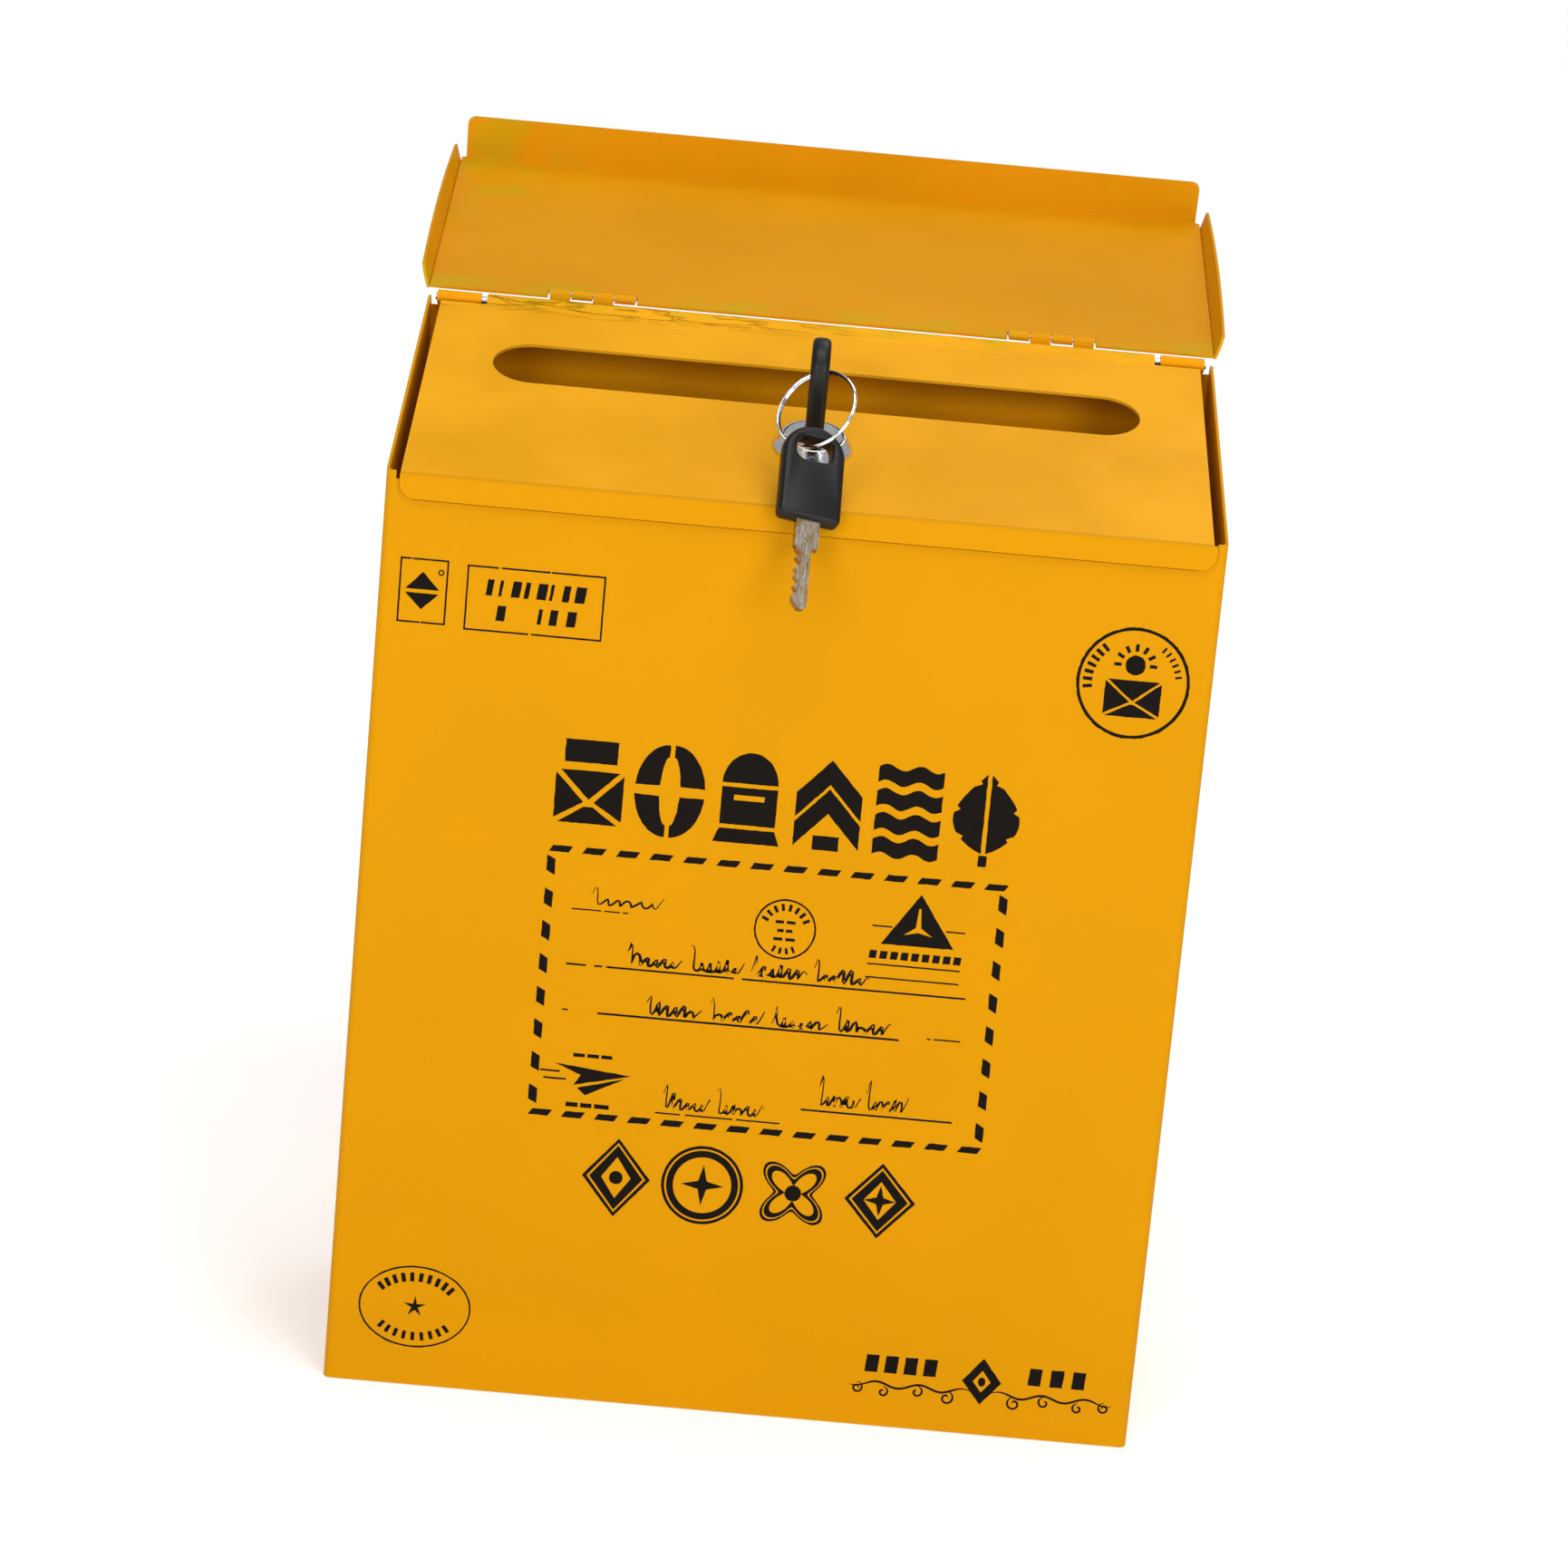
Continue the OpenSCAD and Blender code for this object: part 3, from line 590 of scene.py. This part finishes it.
def quill(x, z, w, h, bridge):
    """A quill in two stencil halves along its shaft, with notches in its vane."""
    parts = []
    for side in (-1, 1):
        rim = []
        for i in range(25):
            t = i / 24
            notch = 0.16 if i % 8 == 5 else 0
            rim.append((x + side * (bridge / 2 + w / 2 * (math.sin(math.pi * t ** 0.8) - notch)),
                        z + h * (0.12 + 0.88 * t)))
        shaft = [(x + side * bridge / 2, z + h * (0.12 + 0.86 * t / 12)) for t in range(12, -1, -1)]
        parts.append([worn(rim + shaft)])
    parts.append([worn(block(x - 1.1, z - 0.5, x + 1.1, z + h * 0.1))])
    return parts


def pillar_box(x, z, w, h, bridge):
    """A street box: a domed top with a slot, and a foot."""
    r = w * 0.42
    dome = [(x + r * math.cos(math.pi * i / 20), z + h * 0.66 + h * 0.34 * math.sin(math.pi * i / 20))
            for i in range(21)]
    body = block(x - r, z + h * 0.2, x + r, z + h * 0.66 - bridge)
    mouth = block(x - r * 0.55, z + h * 0.47, x + r * 0.55, z + h * 0.53)
    foot = [(x - w / 2, z), (x + w / 2, z), (x + r, z + h * 0.2 - bridge), (x - r, z + h * 0.2 - bridge)]
    return [[worn(dome)], [worn(body), mouth[::-1]], [worn(foot)]]


def inline_shape(loop_at, thick, gap, fine):
    """A bold outline with a thin light line inside it. loop_at(inset) gives the shape's loop."""
    heavy = [worn(loop_at(0), 0.08), loop_at(fine)]
    light = [loop_at(fine + gap), loop_at(thick)]
    return [heavy, light]


def front_prints():
    """Every printed group: its name, and its fields as (outer loop, holes...) in millimetres."""
    groups = {}
    groups["print_small_box"] = outline(-102, 206.6, -90, 223) + [
        [worn([(-96.2, 210), (-91.9, 214.2), (-96.2, 214.2), (-100.5, 214.2)])],
        [worn([(-96.2, 219.8), (-91.9, 215.2), (-100.5, 215.2)])],
        [oval(-91.6, 219.9, 0.8, 0.8, 20), oval(-91.6, 219.9, 0.45, 0.45, 20)]]
    wide = outline(-84.8, 206, -49.8, 222.5)
    for i, w in enumerate((1.6, 0.8, 2.2, 1.2, 2.4, 0.8, 1.8, 2.6)):
        x = -80 + i * 3.25
        wide.append([worn(block(x, 215.2, x + w, 219.4, 0.5), 0.1)])
    for i, w in enumerate((2.2, 1.0, 2.0, 2.4)):
        x = (-77, -66.4, -63.4, -59)[i]
        wide.append([worn(block(x, 208.8, x + w, 212.8, 0.4), 0.1)])
    groups["print_wide_box"] = wide
    groups["print_round_stamp"] = (
        [[worn(oval(87, 207.5, 14.6), 0.2), oval(87, 207.5, 13.75)]]
        + ticks(87, 207.5, 11.7, 11.7, 132, 188, 7, 2.4, 0.9)
        + ticks(87, 207.5, 11.7, 11.7, 12, 52, 6, 1.7, 0.6)
        + envelope(87.2, 198.6, 14.5, 9.6, 0.55)
        + [[worn(oval(87.2, 212.2, 2.6, 2.6, 30), 0.15)]]
        + ticks(87.2, 212.2, 4.6, 4.6, 0, 180, 7, 1.9, 0.9))
    return groups


def stencil_row():
    """Six heavy stencil motifs in one row under the stamps."""
    z, h = 156.2, 24
    bridge = 1.1
    row = []
    row += envelope(-49.5, z + 1.5, 17.6, 14, bridge)
    row.append([worn(block(-56.4, z + 17.6, -42.8, z + 23.6))])
    row += globe(-28.8, z + h / 2, 9.1, 12.2, 1.2)
    row += pillar_box(-8.2, z, 17.2, h, bridge)
    row += chevrons(12.4, z, 17.0, h)
    row += waves(33.0, z + 0.3, 17.0, h - 0.6, 4, 4.2)
    row += quill(53.2, z, 16.2, h, bridge)
    return row


def dash_frame():
    """The airmail border: slanted dashes round a rectangle."""
    x0, x1, z0, z1 = -58.2, 60.2, 79, 150.5
    marks = []
    for i in range(14):
        x = x0 + (x1 - x0 - 5.2) * i / 13
        for z in (z0, z1):
            marks.append([worn(block(x - 0.5, z - 0.85, x + 4.7, z + 0.85, 1.1), 0.12)])
    for i in range(8):
        z = z0 + 2.2 + (z1 - z0 - 9.4) * i / 7
        for x in (x0 + 0.4, x1 - 0.4):
            tilted = [(x - 1.1, z + 1.2), (x + 1.1, z), (x + 1.1, z + 4.2), (x - 1.1, z + 5.4)]
            marks.append([worn(tilted, 0.12)])
    return marks


def envelope_notes():
    """What stands inside the border: ruled lines, pen strokes and two small stamps."""
    marks = []
    marks += scrawl(-46.5, -25, 136.4, 4.4, 2.0)
    marks += rule(-51.6, -36.8, 134.8, 0.35, ((0.52, 0.58), (0.85, 0.9)))
    marks += scrawl(-36, 29, 121.0, 5.6, 5.0, 0.8)
    marks += rule(-51.8, 52.6, 119.9, 0.5, ((0.05, 0.07), (0.09, 0.1), (0.42, 0.44)))
    marks += scrawl(-30, 36, 108.0, 5.2, 8.0, 0.75)
    marks += rule(-42.6, 36.4, 107.2, 0.55, ())
    marks += rule(43.6, 52.4, 108.2, 0.4, ((0.12, 0.2),))
    marks += rule(-52, -50.4, 107.5, 0.4, ())
    marks += scrawl(-23.6, 4.4, 82.8, 6.4, 11.0, 0.6)
    marks += rule(-25.4, 7.4, 81.6, 0.4, ((0.2, 0.24), (0.62, 0.65)))
    marks += scrawl(17, 42, 87.4, 8.2, 14.0, 0.6)
    marks += rule(12.6, 52.4, 86.0, 0.5, ())
    x, z = 4.1, 134.3
    marks.append([worn(oval(x, z, 8.1), 0.12), oval(x, z, 7.62)])
    marks += ticks(x, z, 5.9, 5.9, 25, 155, 8, 1.9, 0.8)
    marks += ticks(x, z, 5.9, 5.9, 245, 295, 4, 1.7, 0.7)
    for level, spread in ((1.9, 2.6), (-0.4, 2.0), (-2.7, 2.8)):
        marks += rule(x - spread, x + spread, z + level, 0.8, ((0.42, 0.56),))
    arrow = [(38.9, 143), (38.3, 143), (37.9, 137.8), (34.8, 135.6), (38.6, 136.5), (42.4, 135.6),
             (39.3, 137.8)]
    marks.append([worn([(38.6, 146.8), (29.2, 132.8), (48.2, 132.8)]), arrow])
    for level, a, b in ((137.5, 26.6, 31.8), (137.5, 45.8, 50.8), (127.2, 26.2, 50.4), (123.6, 26.0, 50.4)):
        marks += rule(a, b, level, 0.4, ())
    for i in range(9):
        marks.append([worn(block(26.4 + 2.75 * i, 128.8, 28.3 + 2.75 * i, 130.9, 0.2), 0.08)])
    return marks


def paper_plane():
    """A folded paper plane with two trailing lines, at the border's lower left."""
    x, z = -43, 89.4
    wing = [(x - 9.5, z + 3.4), (x + 10.5, z + 1.4), (x - 4.4, z - 2.2), (x - 2.6, z + 0.6)]
    keel = [(x - 3.4, z - 2.9), (x + 9, z + 0.5), (x - 1.2, z - 4.8)]
    marks = [[worn(wing)], [worn(keel)]]
    marks += rule(x - 13.4, x - 8.2, z + 1.2, 0.5, ())
    marks += rule(x - 12.4, x - 6.4, z - 0.8, 0.5, ())
    marks += rule(x - 5, x + 5.2, z + 6, 1.0, ((0.3, 0.36), (0.66, 0.72)))
    marks += rule(x - 6, x + 5.4, z - 7.6, 1.2, ((0.28, 0.34), (0.6, 0.66)))
    return marks


def inline_row():
    """Four ornaments with a light inline, in one row under the border."""
    z = 62.8

    def lozenge(x, w, h):
        return lambda d: [(x, z + h - 1.5 * d), (x + w - 1.5 * d, z), (x, z - h + 1.5 * d),
                          (x - w + 1.5 * d, z)]

    def round_one(x, r):
        return lambda d: oval(x, z, r - d, r - d)

    def petals(x, r, count, turn):
        def at(d):
            rim = []
            for i in range(96):
                a = 2 * math.pi * i / 96
                reach_out = r * (0.74 + 0.26 * math.cos(count * a + turn)) - d
                rim.append((x + reach_out * math.cos(a), z + reach_out * math.sin(a)))
            return rim
        return at

    row = []
    row += inline_shape(lozenge(-34.2, 9, 10.8), 3.4, 0.5, 0.8)
    row += [[worn(oval(-34.2, z, 1.8), 0.08)]]
    row += inline_shape(round_one(-11.4, 10.8), 3.1, 0.5, 0.8)
    row += [[worn(star(-11.4, z, 5.6, 1.6, 4), 0.08)]]
    row += inline_shape(petals(12.6, 10.8, 4, math.pi), 3.0, 0.5, 0.8)
    row += [[worn(oval(12.6, z, 2.2), 0.08)]]
    row += inline_shape(lozenge(35.6, 9.4, 10.4), 3.4, 0.5, 0.8)
    row += [[worn(star(35.6, z, 4.2, 1.3, 4), 0.08)]]
    return row


def oval_stamp():
    """An oval stamp with a star of five thin rays."""
    x, z = -84.5, 22
    marks = [[worn(oval(x, z, 14.9, 11.4), 0.14), oval(x, z, 14.45, 10.95)]]
    marks += [[worn(star(x, z, 3.1, 0.9), 0.1)]]
    marks += ticks(x, z, 11.7, 8.3, 38, 142, 10, 2.5, 1.1)
    marks += ticks(x, z, 11.5, 8.3, 222, 318, 9, 2.3, 1.0)
    return marks


def flourish():
    """A scrolled line under a row of short bars, with a lozenge in its middle."""
    mid = 67.4
    # each curl's distance from the middle, its turns, its size and its lift
    curls = ((9, 1.2, 2.0, 0.0), (17, 1.0, 1.7, 0.7), (26, 1.1, 1.5, -0.3), (33, 1.3, 1.6, 0.5))
    marks = []
    for side in (-1, 1):
        for start, turns, size, lift in curls:
            curl = []
            for i in range(30):
                t = i / 29
                a = 2 * math.pi * turns * t
                r = size * (1 - 0.75 * t)
                curl.append((mid + side * (start - r * math.sin(a)), 11.6 + lift + r * math.cos(a) - size))
            marks.append([ribbon(curl, 0.55)])
        stem = [(mid + side * (2 + 33 * i / 24), 11.8 + 0.8 * math.sin(i * 0.75)) for i in range(25)]
        marks.append([ribbon(stem, 0.6)])
    marks.append([worn([(mid, 8.6), (72.6, 15), (mid, 21.6), (62.2, 15)]),
                  [(mid, 12), (65, 15), (mid, 18.2), (69.8, 15)]])
    marks.append([worn(oval(mid, 15, 1.0, 1.3, 24), 0.06)])
    for x in (36, 41.2, 46.4, 51.6, 79.6, 85.4, 91.2):
        marks.append([worn(block(x, 15.2, x + 3.4, 20, 0.3), 0.1)])
    return marks


INK_PROUD, INK_SUNK = 0.04, 0.02


def ink_mesh(name, fields, finish):
    """Prints fields as ink that stands a little proud of the front face."""
    points, faces = [], []
    for loops in fields:
        flat = [[Vector((x, z, 0)) for x, z in loop] for loop in loops]
        start = len(points)
        total = sum(len(loop) for loop in flat)
        for depth in (-INK_PROUD, INK_SUNK):
            points += [Vector((p.x * MM, FRONT_Y + depth * MM, case_low.z + p.y * MM))
                       for loop in flat for p in loop]
        for a, b, c in tessellate_polygon(flat):
            faces.append((start + a, start + b, start + c))
            faces.append((start + total + c, start + total + b, start + total + a))
        at = start
        for loop in flat:
            for i in range(len(loop)):
                j = (i + 1) % len(loop)
                faces.append((at + i, at + j, at + total + j, at + total + i))
            at += len(loop)
    return piece(name, points, faces, finish, "case")


# ------------------------------------------------------------------ keys

# millimetres: the bow's width, length and thickness, its foot's corners, and the ring hole's
# corner radius, the middles of its corners and its distance below the head
BOW_W, BOW_L, BOW_T = 16.5, 27.2, 4.8
FOOT_R = 1.6
HOLE_R, HOLE_X, HOLE_Z, HOLE_DOWN = 2.4, 2.4, 1, 6.9


def bow_loop(inset):
    """The bow's outline: an arched head over a square foot with small round corners."""
    r = BOW_W / 2 - inset
    head = BOW_L - BOW_W / 2
    loop = [(r * math.cos(math.pi * i / 32), head + r * math.sin(math.pi * i / 32)) for i in range(33)]
    for side, first in ((-1, 180), (1, 270)):
        for i in range(7):
            a = math.radians(first + 15 * i)
            loop.append((side * (BOW_W / 2 - FOOT_R) + (FOOT_R - inset * 0.8) * math.cos(a),
                         FOOT_R + (FOOT_R - inset * 0.8) * math.sin(a)))
    return loop


def hole_loop(outset):
    """The ring hole's outline, a rectangle with round corners."""
    loop = []
    r = HOLE_R + outset
    for right, up, first in ((1, 1, 0), (-1, 1, 90), (-1, -1, 180), (1, -1, 270)):
        for i in range(8):
            a = math.radians(first + 90 * i / 7)
            loop.append((right * HOLE_X + r * math.cos(a), BOW_L - HOLE_DOWN + up * HOLE_Z + r * math.sin(a)))
    return loop


def key_bow(name, node, where, finish):
    """A moulded bow with soft outer corners and a round-edged ring hole. Each rounded edge is a
    list of its loops, as the inset or outset of a loop and its depth below the face."""
    round_off = [(0, 1.5), (0.12, 0.95), (0.4, 0.45), (0.85, 0.12), (1.4, 0.0)]
    half = BOW_T / 2
    outer = [bow_loop(a) for a, b in round_off]
    depth = [half - b for a, b in round_off]
    rings = [[(x, -d, z) for x, z in loop] for loop, d in zip(outer[::-1], depth[::-1])]
    rings += [[(x, d, z) for x, z in loop] for loop, d in zip(outer, depth)]
    count = len(rings[0])
    points, faces = skin(rings)
    faces = faces[:-2]
    hole_round = [(0.7, 0.0), (0.35, 0.1), (0.1, 0.35), (0, 0.8)]
    holes = [[(x, half - d, z) for x, z in hole_loop(a)] for a, d in hole_round]
    holes += [[(x, -half + d, z) for x, z in hole_loop(a)] for a, d in hole_round[::-1]]
    more, sides = skin(holes)
    base = len(points)
    points += more
    faces += [tuple(base + i for i in f) for f in sides[:-2]]
    hole_count = len(holes[0])
    front = (len(rings) - 1) * count
    for rim, inner, y in ((0, base + (len(holes) - 1) * hole_count, -half), (front, base, half)):
        loops = [[Vector((points[rim + i][0], points[rim + i][2], 0)) for i in range(count)],
                 [Vector((points[inner + i][0], points[inner + i][2], 0)) for i in range(hole_count)]]
        names = [rim + i for i in range(count)] + [inner + i for i in range(hole_count)]
        faces += [(names[a], names[b], names[c]) for a, b, c in tessellate_polygon(loops)]
    points = [where @ Vector(p) for p in points]
    body = frame["nodes"][node]["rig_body"]
    return piece(name, points, faces, finish, body, [node], 40)


# ------------------------------------------------------------------ split ring, by its path

WIRE_T = 0.8


def tube_tree(name, finish):
    """Sweeps a flat wire along a curve: its width and its thickness are inputs."""
    tree = bpy.data.node_groups.new(name, "GeometryNodeTree")
    face = tree.interface
    face.new_socket("Path", in_out="INPUT", socket_type="NodeSocketGeometry")
    for label in ("Wire width", "Wire thickness"):
        face.new_socket(label, in_out="INPUT", socket_type="NodeSocketFloat")
    face.new_socket("Wire", in_out="OUTPUT", socket_type="NodeSocketGeometry")
    given = add(tree, "NodeGroupInput").outputs
    outline_box = add(tree, "GeometryNodeCurvePrimitiveQuadrilateral",
                      {"Width": given["Wire thickness"], "Height": given["Wire width"]})
    corner = times(tree, given["Wire thickness"], 0.28)
    soft = add(tree, "GeometryNodeFilletCurve", {"Curve": outline_box.outputs[0], "Radius": corner,
                                                 "Count": 3}, mode="POLY")
    swept = add(tree, "GeometryNodeCurveToMesh", {"Curve": given["Path"], "Profile Curve": soft.outputs[0],
                                                  "Fill Caps": True})
    real = add(tree, "GeometryNodeRealizeInstances", {"Geometry": swept.outputs[0]})
    painted = add(tree, "GeometryNodeSetMaterial", {"Geometry": real.outputs[0], "Material": finish})
    add(tree, "NodeGroupOutput", {"Wire": painted.outputs[0]})
    return tree


def run_tree(name, source, tree, values):
    """The mesh that a node tree makes from a source object, with its named inputs set."""
    modifier = source.modifiers.new(name, "NODES")
    modifier.node_group = tree
    for socket in tree.interface.items_tree:
        if socket.in_out == "INPUT" and socket.name in values:
            modifier[socket.identifier] = values[socket.name]
    bpy.context.view_layer.update()
    seen = source.evaluated_get(bpy.context.evaluated_depsgraph_get())
    mesh = bpy.data.meshes.new_from_object(seen)
    source.modifiers.remove(modifier)
    bpy.data.objects.remove(source)
    mesh.name = name
    return mesh


def curve_object(name, line):
    """A poly curve through points, in metres."""
    curve = bpy.data.curves.new(name, "CURVE")
    curve.dimensions = "3D"
    spline = curve.splines.new("POLY")
    spline.points.add(len(line) - 1)
    for spot, p in zip(spline.points, line):
        spot.co = (*p, 1)
    made = bpy.data.objects.new(name, curve)
    bpy.context.scene.collection.objects.link(made)
    return made


def split_ring(finish):
    """Nearly two turns of flat wire, one beside the other, crossing over at one place."""
    top = Vector(joints["ring_lift"]["pos_m"])
    bottom = Vector(joints["key_two_swing"]["pos_m"])
    middle = (top + bottom) / 2
    radius = (top - bottom).length / 2
    upward = (top - bottom).normalized()
    along = -Vector(joints["ring_lift"]["axis"]).normalized()
    axis = along.cross(upward)
    low, high = reach("key_ring", axis)
    pitch = (high - low) / 2
    line = []
    steps = 160
    turns = 2 - 10 / 360
    for i in range(steps + 1):
        t = i / steps
        a = math.radians(150) + 2 * math.pi * turns * t
        swap = min(1, max(0, (t * turns - 0.86) / 0.24))
        offset = (swap * swap * (3 - 2 * swap) - 0.5) * pitch
        line.append(middle + upward * radius * math.cos(a) + along * radius * math.sin(a) + axis * offset)
    tree = tube_tree("flat_wire_along_path", finish)
    path = curve_object("split_ring_path", line)
    sizes = {"Wire width": pitch * 0.94, "Wire thickness": WIRE_T * MM}
    mesh = run_tree("split_ring_wire", path, tree, sizes)
    return dress("split_ring_wire", mesh, finish, "ring", ["key_ring"])


# ------------------------------------------------------------------ lock

def lock_barrel(finish):
    """The lock's housing: a coned flange with a rolled rim, and a threaded double-D body."""
    where = Matrix.Translation(Vector(LOCK_SPOT)) @ Matrix((RIGHT, UPHILL, LOCK_AXIS)).transposed().to_4x4()
    where = where @ Matrix.Scale(MM, 4)
    bore_r, end_r, body_r, flat, depth = 6.05, 7.6, 8, 6.9, 20
    thread_low, thread_length, thread_pitch, thread_depth = -19.7, 16.2, 1.0, 0.5
    count, steps = 96, 76

    def ring(radius, height, cut=None):
        loop = []
        for i in range(count):
            a = 2 * math.pi * i / count
            x = radius * math.cos(a)
            if cut:
                x = max(-cut, min(cut, x))
            loop.append((x, radius * math.sin(a), height))
        return loop

    rings = [ring(bore_r, -depth), ring(end_r, -depth, flat)]
    for i in range(steps + 1):
        height = thread_low + thread_length * i / steps
        loop = []
        for j in range(count):
            a = 2 * math.pi * j / count
            phase = (height / thread_pitch - j / count) % 1
            radius = body_r - thread_depth * abs(2 * phase - 1)
            loop.append((max(-flat, min(flat, radius * math.cos(a))), radius * math.sin(a), height))
        rings.append(loop)
    rings += [ring(end_r, -3.3, flat), ring(body_r, -3.1, flat), ring(body_r, 0, flat)]
    # the flange, its rolled rim and the counterbore, as radius and height
    profile = [(10.2, 0.02), (10.44, 0.12), (10.5, 0.35), (10.42, 0.62), (10.2, 0.9), (8.52, 3.05),
               (8.36, 3.28), (8.15, 3.38), (8.0, 3.36), (7.92, 3.26), (7.88, 3.1), (7.88, 1.4), (bore_r, 1.4)]
    rings += [ring(r, h) for r, h in profile]
    points, faces = skin(rings, closed_up=True)
    points = [where @ Vector(p) for p in points]
    return piece("lock_housing", points, faces, finish, "door", ["lock_body"], 40)


# ------------------------------------------------------------------ the stage

# name, bearing from the front to the right and height in degrees, distance and width in metres, watts
LIGHTS = (("top_softbox", 8, 68, 1.25, 0.8, 7.4),
          ("right_panel", 24, 14, 1.9, 0.6, 9.4),
          ("left_panel", -22, 14, 1.9, 0.6, 7.0),
          ("rear_softbox", 150, 60, 1.8, 0.8, 6.0))
WORLD_LIGHT = 0.36


def stage():
    """A wide pale board under the box, and soft lights above, before and behind it."""
    half = 40
    corners = [(-half, -half, 0), (half, -half, 0), (half, half, 0), (-half, half, 0)]
    mesh = bpy.data.meshes.new("board")
    mesh.from_pydata(corners, [], [(0, 1, 2, 3)])
    board = bpy.data.objects.new("board", mesh)
    board.location = (0, 0, cad_box[0][2] - 0.0002)
    board.data.materials.append(pale_floor())
    bpy.context.scene.collection.objects.link(board)
    aim = Vector((0, FRONT_Y, 0.19))
    for name, bearing, height, distance, width, watts in LIGHTS:
        side, rise = math.radians(bearing), math.radians(height)
        away = Vector((math.sin(side) * math.cos(rise), -math.cos(side) * math.cos(rise), math.sin(rise)))
        light = bpy.data.lights.new(name, "AREA")
        light.shape = "SQUARE"
        light.size = width
        light.energy = watts
        lamp = bpy.data.objects.new(name, light)
        lamp.location = aim + away * distance
        lamp.rotation_euler = (-away).to_track_quat("-Z", "Y").to_euler()
        bpy.context.scene.collection.objects.link(lamp)
    world = bpy.data.worlds.new("studio_white")
    world.use_nodes = True
    world.node_tree.nodes["Background"].inputs["Color"].default_value = (1, 1, 1, 1)
    world.node_tree.nodes["Background"].inputs["Strength"].default_value = WORLD_LIGHT
    bpy.context.scene.world = world
    bpy.context.scene.view_settings.view_transform = "Standard"


def camera():
    """Stands a good metre off, a little above the box, looking down and rolled slightly."""
    lens = bpy.data.cameras.new("camera")
    lens.lens = 99.88
    lens.sensor_width = 36
    lens.clip_start = 0.05
    lens.clip_end = 100
    made = bpy.data.objects.new("camera", lens)
    turn = (Matrix.Rotation(math.radians(-0.565), 4, "Z") @ Matrix.Rotation(math.radians(90 - 13.126), 4, "X")
            @ Matrix.Rotation(math.radians(5.284), 4, "Z"))
    made.matrix_world = Matrix.Translation((-0.0104, -1.1393, 0.4275)) @ turn
    bpy.context.scene.collection.objects.link(made)
    bpy.context.scene.camera = made


camera()
stage()

# the front sheet's enamel carries a painted shadow line under the door's lip
yellow = enamel("yellow_enamel_sheet", ENAMEL, lip_shadow=painted_lip_shadow)
# the back wall, door and cover each take their own lighter or darker copy of the enamel: painted light and
# shade
yellow_back = enamel("yellow_enamel_back", ENAMEL_BACK)
yellow_door = enamel("yellow_enamel_door", ENAMEL_DOOR, overspray=near_hinges, runs=door_runs,
                     lip_y=FRONT_Y)
yellow_cover = enamel("yellow_enamel_cover", ENAMEL_COVER, overspray=near_hinges)
grey_zinc = zinc()
bright_chrome = chrome()
warm_nickel = nickel()
brass = wafer_brass()
black = moulded_black()
ink = print_ink()

kept = {"back_panel": yellow_back, "bottom_panel": yellow, "cam_catch": yellow, "hinge_rod": grey_zinc,
        "lock_washer": grey_zinc, "lock_nut": grey_zinc, "cam": grey_zinc, "cam_screw": grey_zinc,
        "lock_plug": bright_chrome, "wafers": brass, "wafer_springs": grey_zinc,
        "key_one_blade": warm_nickel, "key_two_blade": warm_nickel,
        "left_fixed_leaf": yellow_cover, "right_fixed_leaf": yellow_cover, "left_moving_leaf": yellow_cover,
        "right_moving_leaf": yellow_cover, "left_hinge_pin": grey_zinc, "right_hinge_pin": grey_zinc}
for node_name, finish in kept.items():
    for row in frame["nodes"][node_name].material_slots:
        row.material = finish

eased("case_wrap", "case_shell", yellow, 0.18)
eased("door_panel", "slot_door", yellow_door, 0.18)
eased("cover_panel", "rain_cover", yellow_cover, 0.22)

lock_barrel(bright_chrome)
split_ring(bright_chrome)

key_one_seat = seat("key_one_bow", UPHILL, LOCK_AXIS)
lean, twist = math.radians(40), math.radians(16)
hang = Vector((0, math.sin(lean), math.cos(lean)))
broad = Matrix.Rotation(-lean, 3, "X") @ Vector((math.cos(twist), math.sin(twist), 0))
key_two_seat = seat("key_two_bow", broad, hang)
key_bow("key_one_moulding", "key_one_bow", key_one_seat, black)
key_bow("key_two_moulding", "key_two_bow", key_two_seat, black)

all_prints = front_prints()
all_prints["print_stencil_row"] = stencil_row()
all_prints["print_dashed_border"] = dash_frame()
all_prints["print_notes"] = envelope_notes()
all_prints["print_paper_plane"] = paper_plane()
all_prints["print_inline_row"] = inline_row()
all_prints["print_oval_stamp"] = oval_stamp()
all_prints["print_flourish"] = flourish()
for print_name, print_fields in all_prints.items():
    ink_mesh(print_name, print_fields, ink)
